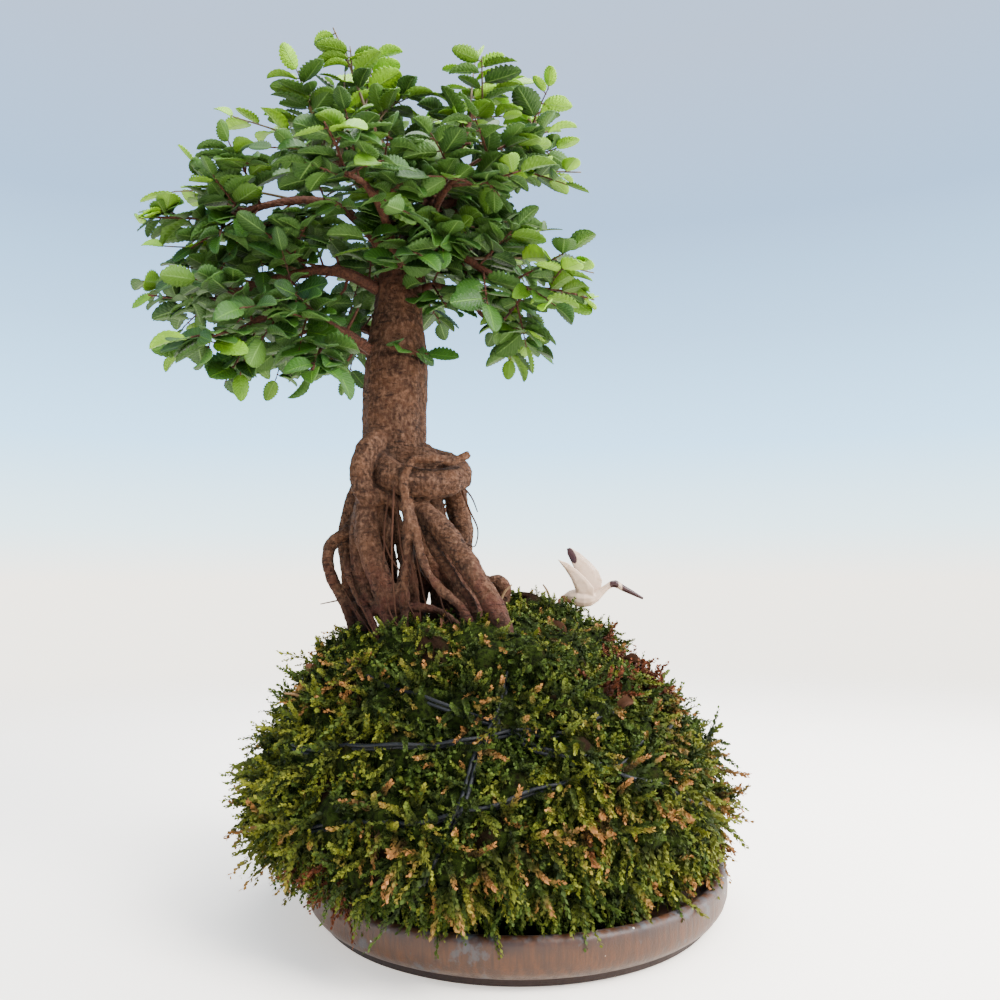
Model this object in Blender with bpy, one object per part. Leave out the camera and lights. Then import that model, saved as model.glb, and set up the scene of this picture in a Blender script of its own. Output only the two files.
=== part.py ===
"""Elm kokedama on a saucer: a small elm whose bare roots clasp a moss-wrapped soil ball.

The ball is tied with thin cord and stands in a shallow glazed saucer, with a small
crane figurine pinned in the moss. Metres, +Z up. The origin is the centre of the
saucer's underside, on the surface that it stands on, and -Y is the front.
"""

import math
import random

import bmesh
import bpy
from mathutils import Vector
from mathutils.bvhtree import BVHTree

MM = 0.001
GAP = 0.35 * MM                 # clearance between pieces that touch

# Saucer
SAUCER_R = 71.5 * MM            # outer radius at the lip
SAUCER_H = 14.5 * MM
SAUCER_WALL = 4.4 * MM
SAUCER_FLOOR = 4.2 * MM
SAUCER_FOOT_R = SAUCER_R - 5.5 * MM
SAUCER_SIDES = 40

# Tie cord
CORD_R = 0.8 * MM
CORD_SIDES = 4
CORD_STEP = 10.0 * MM          # longest step along a winding
CORD_BOW = 0.4 * MM             # how far a step may cut across a bend
CROSSING_REACH = 16.0 * MM      # a winding starts to lift this far from a crossing

# Moss ball
MOSS_WALL = 13.0 * MM           # thickness of the moss over the soil
MOSS_H = 87.0 * MM              # height of the ball
MOSS_W = 157.0 * MM             # widest, along X
MOSS_D = 152.0 * MM             # widest, along Y
MOSS_X = -11.0 * MM             # middle of the ball, left of the saucer's middle
MOSS_FOOT_R = SAUCER_R - SAUCER_WALL - 5.1 * MM     # where the ball enters the saucer
MOSS_LUMP = 1.6 * MM            # height of the swellings on its surface
MOSS_OPENING_R = 34.0 * MM      # hole in the moss under the ball
MOSS_SIDES = 40
SOIL_SIDES = 24
MOSS_BASE = SAUCER_FLOOR + 2 * GAP + 2 * CORD_R + CORD_BOW      # it rests on its windings
BALL_TOP = MOSS_BASE + MOSS_H

# Elm
TRUNK_R = 11.7 * MM
TREE_LIFT = BALL_TOP - 93.9 * MM        # the tree's points are drawn for a ball of that height
LEAF_LENGTH = 12.5 * MM
LEAF_THICK = 0.5 * MM           # half the thickness at its middle
LEAVES_PER_TWIG = 5
LEAVES_PER_SIDE_TWIG = 3
TWIG_R = 0.6 * MM
TWIG_STEPS = 3

# Crane figurine
CRANE_SCALE = 1.0
CRANE_LEG_R = 0.55 * MM
CRANE_FOOT = Vector((25.0, 8.0)) * MM


# ---------------------------------------------------------------- shared helpers

SHARP_ANGLE = 40                # edges over this many degrees stay sharp
CURVE_STEPS = 12                # fine steps between two points of a route

for old in list(bpy.data.objects):
    bpy.data.objects.remove(old, do_unlink=True)


def material(name, colour, roughness):
    made = bpy.data.materials.new(name)
    made.use_nodes = True
    shader = made.node_tree.nodes["Principled BSDF"]
    shader.inputs["Base Color"].default_value = (*colour, 1.0)
    shader.inputs["Roughness"].default_value = roughness
    return made


def add_object(name, bm, finish=None):
    """Turn a bmesh into a named object with outward faces."""
    bmesh.ops.recalc_face_normals(bm, faces=bm.faces)
    mesh = bpy.data.meshes.new(name)
    bm.to_mesh(mesh)
    bm.free()
    mesh.shade_smooth()
    mesh.set_sharp_from_angle(angle=math.radians(SHARP_ANGLE))
    made = bpy.data.objects.new(name, mesh)
    bpy.context.collection.objects.link(made)
    if finish:
        mesh.materials.append(finish)
    return made


def boolean(target, operation, tool):
    """Apply an exact Boolean to the target and delete the tool."""
    step = target.modifiers.new(operation, "BOOLEAN")
    step.operation = operation
    step.solver = "EXACT"
    step.use_self = True
    step.object = tool
    graph = bpy.context.evaluated_depsgraph_get()
    result = bpy.data.meshes.new_from_object(target.evaluated_get(graph))
    target.modifiers.clear()
    target.data = result
    bpy.data.objects.remove(tool, do_unlink=True)
    return target


def smooth_route(points, spacing):
    """Even steps along a Catmull-Rom curve through (x, y, z, radius) points."""
    keys = [Vector(point) for point in points]
    keys = [2 * keys[0] - keys[1]] + keys + [2 * keys[-1] - keys[-2]]
    fine = []
    for a, b, c, d in zip(keys, keys[1:], keys[2:], keys[3:]):
        for step in range(CURVE_STEPS):
            t = step / CURVE_STEPS
            fine.append(0.5 * (2 * b + (c - a) * t + (2 * a - 5 * b + 4 * c - d) * t * t
                               + (3 * b - a - 3 * c + d) * t ** 3))
    fine.append(keys[-2])
    lengths = [0.0]
    for a, b in zip(fine, fine[1:]):
        lengths.append(lengths[-1] + (b.xyz - a.xyz).length)
    count = max(2, round(lengths[-1] / spacing))
    route = []
    place = 0
    for step in range(count + 1):
        wanted = lengths[-1] * step / count
        while place < len(lengths) - 2 and lengths[place + 1] < wanted:
            place += 1
        share = (wanted - lengths[place]) / (lengths[place + 1] - lengths[place])
        route.append(fine[place].lerp(fine[place + 1], min(1.0, max(0.0, share))))
    return route


def tube(bm, route, sides, extra=0.0, closed=False):
    """Sweep a round section along a route of (x, y, z, radius), with flat caps."""
    centres = [point.xyz for point in route]
    count = len(centres)
    rings = []
    across = None
    for i, point in enumerate(route):
        if closed:
            ahead = centres[(i + 1) % count] - centres[i - 1]
        else:
            ahead = centres[min(i + 1, count - 1)] - centres[max(i - 1, 0)]
        ahead.normalize()
        if across is None:
            across = ahead.orthogonal()
        across = (across - ahead * across.dot(ahead)).normalized()
        other = ahead.cross(across)
        centre = point.xyz.copy()
        if extra and not closed and i in (0, count - 1):
            centre += ahead * (extra if i else -extra)
        ring = []
        for side in range(sides):
            turn = 2 * math.pi * side / sides
            offset = across * math.cos(turn) + other * math.sin(turn)
            ring.append(bm.verts.new(centre + offset * (point[3] + extra)))
        rings.append(ring)
    pairs = list(zip(rings, rings[1:]))
    if closed:
        pairs.append((rings[-1], rings[0]))
    else:
        bm.faces.new(list(reversed(rings[0])))
        bm.faces.new(rings[-1])
    for near, far in pairs:
        for side in range(sides):
            after = (side + 1) % sides
            bm.faces.new((near[side], near[after], far[after], far[side]))


def on_the_ball(points):
    """The tree's (x, y, z, radius) points in metres, raised or lowered with the ball's top."""
    return [(x * MM, y * MM, z * MM + TREE_LIFT, radius * MM) for x, y, z, radius in points]


def stacked(sections, sides, shape):
    """Close a pile of rings into one solid; shape(section, turn) gives each point."""
    bm = bmesh.new()
    rings = []
    for section in sections:
        ring = [bm.verts.new(shape(section, 2 * math.pi * k / sides)) for k in range(sides)]
        rings.append(ring)
    bm.faces.new(list(reversed(rings[0])))
    bm.faces.new(rings[-1])
    for near, far in zip(rings, rings[1:]):
        for side in range(sides):
            after = (side + 1) % sides
            bm.faces.new((near[side], near[after], far[after], far[side]))
    return bm


# ---------------------------------------------------------------- saucer

def saucer_profile():
    """Half outline from the middle of the underside, round the lip, to the middle of the floor."""
    wall = SAUCER_WALL
    outer = SAUCER_R
    inner = outer - wall
    lip = [(outer - wall / 2 + wall / 2 * math.cos(a), SAUCER_H - wall / 2 + wall / 2 * math.sin(a))
           for a in (math.radians(d) for d in (0, 50, 90, 130, 180))]
    below = [(0.0, 0.0), (SAUCER_FOOT_R, 0.0), (SAUCER_FOOT_R + 0.4 * MM, 1.8 * MM),
             (outer - 1.2 * MM, 4.6 * MM), (outer, 8.0 * MM)]
    inside = [(inner - 0.6 * MM, 8.0 * MM), (inner - 3.0 * MM, SAUCER_FLOOR + 0.8 * MM),
              (inner - 7.0 * MM, SAUCER_FLOOR), (0.0, SAUCER_FLOOR)]
    return below + lip + inside


def build_saucer():
    bm = bmesh.new()
    corners = [bm.verts.new((r, 0, z)) for r, z in saucer_profile()]
    edges = [bm.edges.new(pair) for pair in zip(corners, corners[1:])]
    bmesh.ops.spin(bm, geom=corners + edges, cent=(0, 0, 0), axis=(0, 0, 1), dvec=(0, 0, 0),
                   angle=2 * math.pi, steps=SAUCER_SIDES, use_merge=True, use_duplicate=False)
    bmesh.ops.remove_doubles(bm, verts=bm.verts, dist=1e-6)
    finish = material("brown_glaze", (0.30, 0.17, 0.11), 0.35)
    return add_object("saucer", bm, finish)


# ---------------------------------------------------------------- moss and soil

# share of the height, share of the half width, share of the shift to the left
MOSS_RISE = ((0.15, 0.872, 0.5), (0.21, 0.955, 0.85), (0.30, 1.0, 1.0), (0.40, 0.99, 1.0),
             (0.51, 0.95, 1.0), (0.62, 0.88, 1.0), (0.73, 0.78, 1.1), (0.83, 0.665, 1.2),
             (0.91, 0.54, 1.3), (0.965, 0.39, 1.4), (1.0, 0.20, 1.4))


def moss_sections(inset=0.0):
    """(height, half width X, half width Y, middle X), the lowest ones inside the saucer."""
    foot = MOSS_FOOT_R - inset
    low_x = MOSS_X * 0.2
    sections = [(MOSS_BASE, foot - 12 * MM, foot - 12 * MM, low_x),
                (MOSS_BASE + 3.5 * MM, foot - 2.5 * MM, foot - 2.5 * MM, low_x),
                (SAUCER_H + 1.5 * MM, foot, foot, low_x)]
    for rise, share, shift in MOSS_RISE:
        height = MOSS_BASE + MOSS_H * rise - inset * max(0.0, (rise - 0.3) / 0.7)
        sections.append((height, MOSS_W / 2 * share - inset, MOSS_D / 2 * share - inset,
                         MOSS_X * shift))
    return [section for section in sections if section[1] > 4 * MM]


def moss_point(section, turn, lump=MOSS_LUMP):
    height, half_x, half_y, middle = section
    if height > SAUCER_H + 6 * MM:
        z = height / MM
        swell = (math.sin(3 * turn + 0.05 * z) + 0.8 * math.sin(5 * turn - 0.09 * z + 1.0)
                 + 0.6 * math.sin(8 * turn + 0.13 * z + 2.0))
        half_x += lump * swell
        half_y += lump * swell
    return Vector((middle + half_x * math.cos(turn), half_y * math.sin(turn), height))


def build_moss_and_soil(tools):
    bm = stacked(moss_sections(), MOSS_SIDES, moss_point)
    moss = add_object("moss_cover", bm, material("moss_green", (0.10, 0.16, 0.03), 0.95))
    surface = BVHTree.FromObject(moss, bpy.context.evaluated_depsgraph_get())
    hollow = stacked([(MOSS_BASE - 2 * MM, MOSS_OPENING_R, MOSS_OPENING_R, MOSS_X * 0.2)]
                     + moss_sections(MOSS_WALL)[1:], SOIL_SIDES, lambda s, t: moss_point(s, t, 0.0))
    boolean(moss, "DIFFERENCE", add_object("hollow", hollow))
    core = stacked([(MOSS_BASE, MOSS_OPENING_R - GAP, MOSS_OPENING_R - GAP, MOSS_X * 0.2)]
                   + moss_sections(MOSS_WALL + GAP)[1:], SOIL_SIDES, lambda s, t: moss_point(s, t, 0.0))
    soil = add_object("soil_core", core, material("dark_soil", (0.04, 0.03, 0.02), 1.0))
    for make_tool in tools:
        boolean(moss, "DIFFERENCE", make_tool())
        boolean(soil, "DIFFERENCE", make_tool())
    return surface


# ---------------------------------------------------------------- tie cord

# A winding lies in a plane that meets the ball's axis this far right of the middle, at this
# share of its height, and is square to this direction.
CORD_PLANES = ((1.0, 0.714, (-0.10, -0.06, 1.0)),
               (1.0, 0.541, (-0.20, -0.07, 1.0)),
               (-8.0, 0.472, (1.0, 0.02, -0.46)),
               (1.0, 0.633, (0.36, 0.12, 1.0)))
OUTLINE_POINTS = 240
CAST_FROM = 0.3                 # rays start this far out, well clear of the ball


def thinned(outline):
    """Which points of a round outline to keep: close together only where it bends."""
    kept = [0]
    for i in range(2, len(outline) + 1):
        start = outline[kept[-1]]
        chord = outline[i % len(outline)] - start
        skipped = outline[kept[-1] + 1:i]
        bow = max(abs(chord.cross(spot - start)) / max(chord.length, 1e-9) for spot in skipped)
        if bow > CORD_BOW or chord.length > CORD_STEP:
            kept.append(i - 1)
    return kept


def rise_over(earlier, spot):
    """How far a winding lifts at a place to pass over those that were tied before."""
    rise = 0.0
    for laid in earlier:
        nearest = 1.0
        for (a, lift_a), (b, lift_b) in zip(laid, laid[1:] + laid[:1]):
            share = max(0.0, min(1.0, (spot - a).dot(b - a) / (b - a).length_squared))
            gap = (spot - a.lerp(b, share)).length
            if gap < nearest:
                nearest = gap
                lifted = max(lift_a, lift_b)
        if nearest < CROSSING_REACH:
            fade = min(1.0, 2 * (1 - nearest / CROSSING_REACH))
            rise = max(rise, (lifted + 2 * CORD_R + 2 * GAP) * fade)
    return rise


def build_cords(surface):
    finish = material("black_cord", (0.012, 0.012, 0.014), 0.5)
    earlier = []
    for number, (right, rise, normal) in enumerate(CORD_PLANES, start=1):
        middle = Vector((MOSS_X + right * MM, 0, MOSS_BASE + MOSS_H * rise))
        square = Vector(normal).normalized()
        along = square.orthogonal().normalized()
        across = square.cross(along)
        flat = []
        upward = []
        for k in range(OUTLINE_POINTS):
            turn = 2 * math.pi * k / OUTLINE_POINTS
            out = along * math.cos(turn) + across * math.sin(turn)
            hit, facing, _, _ = surface.ray_cast(middle + out * CAST_FROM, -out)
            tilted = (facing - square * facing.dot(square)).normalized()
            lift = (CORD_R + GAP + CORD_BOW) / max(0.5, facing.dot(tilted))
            spot = hit + tilted * lift - middle
            flat.append(Vector((spot.dot(along), spot.dot(across))))
            upward.append(tilted)
        laid = []
        for k in thinned(flat):
            point = middle + along * flat[k].x + across * flat[k].y
            lifted = rise_over(earlier, point)
            laid.append((point + upward[k] * lifted, lifted))
        earlier.append(laid)
        route = [Vector((*point, CORD_R)) for point, _ in laid]
        bm = bmesh.new()
        tube(bm, route, CORD_SIDES, closed=True)
        add_object(f"tie_cord_{number}", bm, finish)


# ---------------------------------------------------------------- trunk and roots

# x, y, z, radius in millimetres; the trunk's own radius scales the first list
TRUNK = ((-44, 2, 148, 9.0), (-44, 2, 156, 11.6), (-44, 2, 172, 12.0), (-43.5, 2, 190, 11.7),
         (-43.3, 2, 200, 10.4), (-43, 2, 212, 8.8), (-42, 2, 222, 8.4), (-38, 2, 232, 6.2),
         (-34, 2, 243, 4.8), (-30, 1, 254, 3.6), (-28, 1, 259, 2.6))
ROOTS = (
    # left arch that hugs the trunk's foot, then turns in and down
    ((-45, -2, 161, 3.8), (-50, -10, 158, 4.2), (-53, -14, 151, 4.2), (-54, -15, 144, 4.1),
     (-51, -14, 138, 4.0), (-48, -10, 132, 3.8), (-46, -3, 119, 3.2), (-45, 2, 104, 3.2),
     (-45, 2, 88, 3.0)),
    # rear left
    ((-50, 2, 154, 3.6), (-58, 4, 141, 3.4), (-61, 6, 133, 3.2), (-62, 6, 126, 3.2),
     (-61, 4, 116, 3.0), (-58, 2, 107, 3.0), (-54, 0, 97, 3.0), (-51, 0, 84, 2.8)),
    # outer loop on the left
    ((-56, 2, 138, 1.8), (-60, -2, 127, 1.7), (-65, -4, 123, 1.6), (-66, -5, 116, 1.6),
     (-64, -6, 109, 1.6), (-60, -7, 103, 1.5), (-57, -8, 96, 1.4), (-54, -8, 86, 1.3)),
    # big root left of the middle
    ((-49, 0, 151, 4.0), (-52, -6, 142, 4.0), (-52, -12, 132, 4.2), (-51, -15, 124, 4.2),
     (-48, -17, 115, 4.1), (-45, -18, 107, 4.0), (-42, -18, 100, 3.9), (-40, -16, 90, 3.6),
     (-38, -14, 74, 3.0)),
    # two thin roots that run down its left
    ((-60, 0, 128, 1.3), (-60, -7, 120, 1.2), (-58, -11, 111, 1.2), (-53, -15, 102, 1.2),
     (-48, -20, 96, 1.1), (-45, -22, 86, 1.0)),
    ((-57, -2, 124, 1.3), (-57, -9, 115, 1.2), (-53, -13, 107, 1.2), (-48, -17, 101, 1.2),
     (-43, -23, 96, 1.1), (-40, -26, 87, 1.0)),
    # thin root over the bulge and straight down the front
    ((-16, -13, 153, 1.3), (-21, -17, 150, 1.5), (-25, -20, 150, 1.5), (-31, -22, 151, 1.5),
     (-36, -22, 149, 1.6), (-38, -22, 144, 1.6), (-37, -23, 136, 1.6), (-36, -24, 126, 1.5),
     (-36, -24, 116, 1.5), (-37, -24, 106, 1.5), (-37, -23, 96, 1.4), (-37, -22, 86, 1.3)),
    # thick root wrapped round the trunk's foot
    ((-46, -2, 154, 4.2), (-47, -9, 149, 5.0), (-42, -14, 145, 5.4), (-35, -16, 143, 5.6),
     (-28, -15, 142, 5.4), (-22, -11, 144, 5.0), (-19, -4, 147, 4.6), (-22, 3, 151, 4.2),
     (-32, 5, 155, 3.8)),
    # swollen foot of the trunk inside that wrap
    ((-40, 2, 154, 8.0), (-33, 0, 151, 7.5), (-28, -1, 148, 6.0)),
    # rear right
    ((-23, -2, 147, 4.2), (-22, 4, 141, 4.2), (-20, 7, 132, 4.1), (-19, 8, 124, 4.0),
     (-20, 7, 115, 4.0), (-21, 5, 106, 3.8), (-22, 3, 94, 3.4), (-23, 3, 82, 3.0)),
    # thick one behind the big front root
    ((-33, 1, 149, 4.0), (-30, 2, 138, 4.0), (-28, 0, 129, 4.2), (-24, -4, 117, 4.6),
     (-19, -8, 108, 4.8), (-16, -12, 99, 4.6), (-15, -14, 86, 4.0)),
    # big root across the front to the right
    ((-41, 0, 153, 4.0), (-38, -9, 142, 3.8), (-33, -14, 134, 3.7), (-25, -20, 127, 3.7),
     (-19, -25, 119, 3.6), (-14, -30, 111, 3.6), (-9, -34, 104, 3.5), (-5, -36, 96, 3.4),
     (-3, -36, 86, 3.0), (-3, -34, 72, 2.6)),
    # two slimmer ones beside it
    ((-38, -13, 142, 1.6), (-36, -20, 134, 1.5), (-33, -25, 125, 1.5), (-31, -28, 117, 1.4),
     (-27, -31, 109, 1.4), (-22, -33, 104, 1.4), (-16, -35, 99, 1.4), (-12, -35, 88, 1.3)),
    ((-32, -15, 131, 1.6), (-29, -19, 122, 1.5), (-24, -23, 115, 1.5), (-19, -27, 108, 1.4),
     (-14, -31, 101, 1.4), (-11, -32, 88, 1.3)),
    # knobbed root at the right
    ((-20, 6, 114, 3.0), (-14, 6, 108, 3.4), (-8, 4, 107, 3.8), (-5, 2, 103, 3.8),
     (-4, 0, 95, 3.2), (-4, 0, 84, 2.6)),
    # rear middle
    ((-40, 6, 152, 3.8), (-36, 9, 137, 3.6), (-31, 8, 123, 3.6), (-28, 6, 113, 3.6),
     (-27, 2, 102, 3.4), (-28, 0, 84, 3.0)),
    # short one that leans on the big left root
    ((-36, -12, 134, 1.8), (-37, -14, 124, 1.7), (-38, -15, 115, 1.6), (-39, -18, 107, 1.5),
     (-42, -20, 99, 1.5), (-43, -20, 87, 1.4)),
)


TRUNK_DRAWN_R = 12.0 * MM       # the radius that the first list is drawn for
TRUNK_STEP = 7.0 * MM
TRUNK_SIDES = 12
ROOT_STEP = 7.5 * MM
THICK_ROOT = 2.0 * MM           # roots over this radius get more sides


def add_trunk(bm, extra=0.0):
    share = TRUNK_R / TRUNK_DRAWN_R
    points = [(x, y, z, radius * share) for x, y, z, radius in TRUNK]
    tube(bm, smooth_route(on_the_ball(points), TRUNK_STEP), TRUNK_SIDES, extra)


def root_mesh(extra=0.0):
    bm = bmesh.new()
    for points in ROOTS:
        sides = 7 if points[0][3] * MM > THICK_ROOT else 5
        tube(bm, smooth_route(on_the_ball(points), ROOT_STEP), sides, extra)
    return bm


def build_wood():
    bark = material("elm_bark", (0.22, 0.14, 0.09), 0.85)
    bm = bmesh.new()
    add_trunk(bm)
    wood = add_object("trunk_with_roots", bm, bark)
    boolean(wood, "UNION", add_object("roots", root_mesh()))
    return wood


def root_cutter():
    return add_object("root_sockets", root_mesh(GAP))


# ---------------------------------------------------------------- limbs

# x, y, z in millimetres, starting inside the trunk; radius at the start; leafy shoots carried
LIMBS = {
    "limb_low_left": (((-48, 0, 191), (-58, -10, 196), (-66, -16, 200), (-76, -23, 201),
                       (-84, -28, 198), (-92, -31, 192)), 2.2, 3),
    "limb_low_rear": (((-46, 4, 199), (-66, 18, 211), (-80, 25, 211), (-92, 29, 206)), 1.9, 2),
    "limb_dead_stub": (((-46, 0, 192), (-62, 2, 196), (-70, 3, 199)), 1.4, 0),
    "limb_mid_left": (((-44, 1, 214), (-64, -4, 223), (-80, -6, 221), (-94, -8, 216),
                       (-108, -8, 212)), 2.5, 3),
    "limb_upper_left": (((-41, 1, 224), (-56, -7, 240), (-67, -11, 246), (-84, -14, 245),
                         (-105, -15, 238)), 2.3, 3),
    "limb_top_left": (((-37, 2, 236), (-53, 5, 254), (-62, 2, 264), (-72, -2, 272)), 2.0, 2),
    "limb_top_front": (((-35, 2, 240), (-44, -8, 260), (-50, -9, 272), (-55, -8, 283)), 1.9, 2),
    "limb_top_rear": (((-33, 2, 245), (-37, 15, 263), (-42, 21, 275), (-42, 22, 285)), 1.8, 2),
    "limb_top_right": (((-31, 1, 250), (-22, -8, 265), (-17, -9, 274), (-15, -8, 282)), 1.7, 2),
    "limb_upper_right": (((-31, 1, 248), (-17, 4, 256), (-9, 4, 260), (-2, 3, 268),
                          (5, 2, 277)), 1.8, 2),
    "limb_right": (((-38, 1, 226), (-24, -5, 231), (-15, -9, 224), (-5, -12, 217),
                    (5, -13, 213)), 1.9, 3),
    "limb_low_right": (((-38, 2, 216), (-28, 4, 221), (-19, 6, 217), (-11, 7, 209)), 1.5, 1),
    "limb_front": (((-42, 2, 221), (-45, -22, 235), (-49, -36, 240), (-54, -45, 240)), 1.9, 2),
    "limb_front_right": (((-35, 1, 237), (-25, -20, 245), (-17, -32, 247)), 1.8, 2),
    "limb_rear": (((-38, 4, 228), (-45, 24, 242), (-56, 37, 247)), 1.8, 2),
    "limb_rear_right": (((-34, 3, 240), (-21, 22, 249), (-9, 33, 251)), 1.8, 2),
}
LIMB_TIP_SHARE = 0.45
LIMB_STEP = 8.0 * MM
LIMB_SIDES = 6


def limb_route(name, spacing=LIMB_STEP):
    points, radius, _ = LIMBS[name]
    last = len(points) - 1
    grown = [(*point, radius * (1 - (1 - LIMB_TIP_SHARE) * i / last))
             for i, point in enumerate(points)]
    return smooth_route(on_the_ball(grown), spacing)


def trunk_cutter():
    bm = bmesh.new()
    add_trunk(bm, GAP)
    return add_object("trunk_cutter", bm)


def build_limbs():
    twig_bark = material("twig_bark", (0.17, 0.09, 0.06), 0.8)
    limbs = {}
    for name in LIMBS:
        bm = bmesh.new()
        tube(bm, limb_route(name), LIMB_SIDES)
        limbs[name] = boolean(add_object(name, bm, twig_bark), "DIFFERENCE", trunk_cutter())
    return limbs


# ---------------------------------------------------------------- leafy shoots

SEED = 41
SHOOT_LENGTH = (18.0 * MM, 26.0 * MM)
SIDE_SHARE = 0.66               # length of a shoot's side twigs against its main twig
SHOOT_SPACING = 0.26            # share of the limb's length between its shoots
TWIG_TRIES = 60
LEAF_TRIES = 16
PROBE_START = 1.6 * MM          # a leaf may touch its own twig up to here
CROWN_MIDDLE = Vector((-52 * MM, 0, 232 * MM + TREE_LIFT))


def tree_of(bm):
    tree = BVHTree.FromBMesh(bm)
    bm.free()
    return tree


def twig_route(start, direction, length, rise):
    """A slightly arched twig, its radius falling towards the tip."""
    route = []
    for step in range(TWIG_STEPS + 1):
        t = step / TWIG_STEPS
        bend = Vector((0, 0, rise * length * t * t))
        point = (start + direction * (length * t) + bend).to_4d()
        point[3] = TWIG_R * (1.15 - 0.6 * t)
        route.append(point)
    return route


def blade(bm, base, ahead, facing, length, width, extra=0.0):
    """A thin leaf, sharp all round, from the twig's middle to its tip."""
    across = ahead.cross(facing).normalized()
    up = across.cross(ahead).normalized()
    middle = base + ahead * (0.5 * length)
    thick = LEAF_THICK + extra
    rim = [base - ahead * extra, middle + across * (width / 2 + extra),
           base + ahead * (length + extra), middle - across * (width / 2 + extra)]
    rim = [bm.verts.new(spot) for spot in rim]
    for height, turn in ((thick, 1), (-thick, -1)):
        crown = bm.verts.new(middle + up * height)
        for i in range(4):
            corners = (rim[i], rim[(i + 1) % 4], crown)
            bm.faces.new(corners[::turn])


def outward(point):
    flat = point - CROWN_MIDDLE
    flat.z = max(-0.2 * flat.length, flat.z)
    return flat.normalized()


def place_twigs(taken):
    """Choose a free place for each shoot: its limb, its number and its twigs, longest first."""
    dice = random.Random(SEED)
    shoots = []
    for name, (_, _, count) in LIMBS.items():
        route = limb_route(name, 2 * MM)
        for number in range(count):
            share = 1.0 - number * SHOOT_SPACING
            for attempt in range(TWIG_TRIES):
                spot = route[round((len(route) - 1) * share)]
                before = route[max(0, round((len(route) - 1) * share) - 3)]
                ahead = (spot.xyz - before.xyz).normalized()
                side = Vector([dice.uniform(-1, 1) for _ in range(3)])
                spread = 0.35 + 0.02 * attempt if number == 0 else 1.1
                direction = (ahead * (1.0 if number == 0 else 0.4) + outward(spot.xyz) * 0.7
                             + side * spread).normalized()
                length = dice.uniform(*SHOOT_LENGTH)
                main = twig_route(spot.xyz, direction, length, dice.uniform(-0.12, 0.10))
                twigs = [main]
                sideways = direction.cross(Vector((0, 0, 1))).normalized()
                for fork, way in ((main[1], 1), (main[2], -1)):
                    lean = sideways * way * 0.9 + direction * 0.6
                    lean.z += dice.uniform(-0.15, 0.35)
                    twigs.append(twig_route(fork.xyz, lean.normalized(), length * SIDE_SHARE,
                                            dice.uniform(-0.1, 0.1)))
                body = bmesh.new()
                for twig in twigs:
                    tube(body, twig, 3, 1.2 * GAP)
                tree = tree_of(body)
                if any(tree.overlap(other) for key, other in taken if key != name):
                    continue
                taken.append((f"shoot of {name} {number}", tree))
                shoots.append((name, number, twigs))
                break
    return shoots


def place_leaves(shoots, taken):
    """Alternate leaves along each twig, none of them touching another shoot."""
    dice = random.Random(SEED + 1)
    leaves = [[] for _ in shoots]
    for index, (name, number, twigs) in enumerate(shoots):
        own = f"shoot of {name} {number}"
        for twig in twigs:
            count = LEAVES_PER_TWIG if twig is twigs[0] else LEAVES_PER_SIDE_TWIG
            for k in range(count):
                along = 1.0 if k == 0 else 1.0 - k / (count + 0.5)
                place = along * TWIG_STEPS
                low = min(TWIG_STEPS - 1, int(place))
                spot = twig[low].lerp(twig[low + 1], place - low).xyz
                ahead = (twig[low + 1].xyz - twig[low].xyz).normalized()
                if k == 0:
                    spot -= ahead * (0.8 * MM)
                for _ in range(LEAF_TRIES):
                    level = ahead.cross(Vector((0, 0, 1))).normalized()
                    side = level * (0 if k == 0 else (1 if k % 2 else -1))
                    reach = ahead * (1.0 if k == 0 else 0.75) + side * 1.0
                    reach += Vector([dice.uniform(-0.3, 0.3) for _ in range(3)])
                    reach.normalize()
                    facing = Vector((dice.uniform(-0.5, 0.5), dice.uniform(-0.5, 0.5), 1.0))
                    facing.normalize()
                    length = LEAF_LENGTH * dice.uniform(0.75, 1.1) * (1.12 - 0.25 * along)
                    width = length * dice.uniform(0.50, 0.58)
                    if abs(reach.dot(facing)) > 0.8:
                        continue
                    body = bmesh.new()
                    blade(body, spot + reach * PROBE_START, reach, facing, length - PROBE_START,
                          width, GAP)
                    tree = tree_of(body)
                    if any(tree.overlap(other) for key, other in taken if key != own):
                        continue
                    taken.append((own + " leaf", tree))
                    leaves[index].append((spot, reach, facing, length, width))
                    break
    return leaves


def build_shoots(limbs, wood):
    graph = bpy.context.evaluated_depsgraph_get()
    taken = [(name, BVHTree.FromObject(limb, graph)) for name, limb in limbs.items()]
    taken.append(("trunk", BVHTree.FromObject(wood, graph)))
    shoots = place_twigs(taken)
    leaves = place_leaves(shoots, taken)
    green = material("elm_leaf", (0.05, 0.14, 0.03), 0.45)
    for (name, number, twigs), grown in zip(shoots, leaves):
        bm = bmesh.new()
        tube(bm, twigs[0], 3)
        shoot = add_object(name.replace("limb", "leaves") + f"_{number + 1}", bm, green)
        cutter = bmesh.new()
        tube(cutter, limb_route(name), LIMB_SIDES, GAP)
        boolean(shoot, "DIFFERENCE", add_object("limb_cutter", cutter))
        extra = bmesh.new()
        for twig in twigs[1:]:
            tube(extra, twig, 3)
        for leaf in grown:
            blade(extra, *leaf)
        boolean(shoot, "UNION", add_object("leaf_blades", extra))


# ---------------------------------------------------------------- crane figurine

def crane_point(x, y, z):
    """A place on the crane, in millimetres from its feet, facing +X."""
    return (CRANE_FOOT.x + x * CRANE_SCALE * MM, CRANE_FOOT.y + y * CRANE_SCALE * MM,
            CRANE_GROUND + z * CRANE_SCALE * MM)


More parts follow.
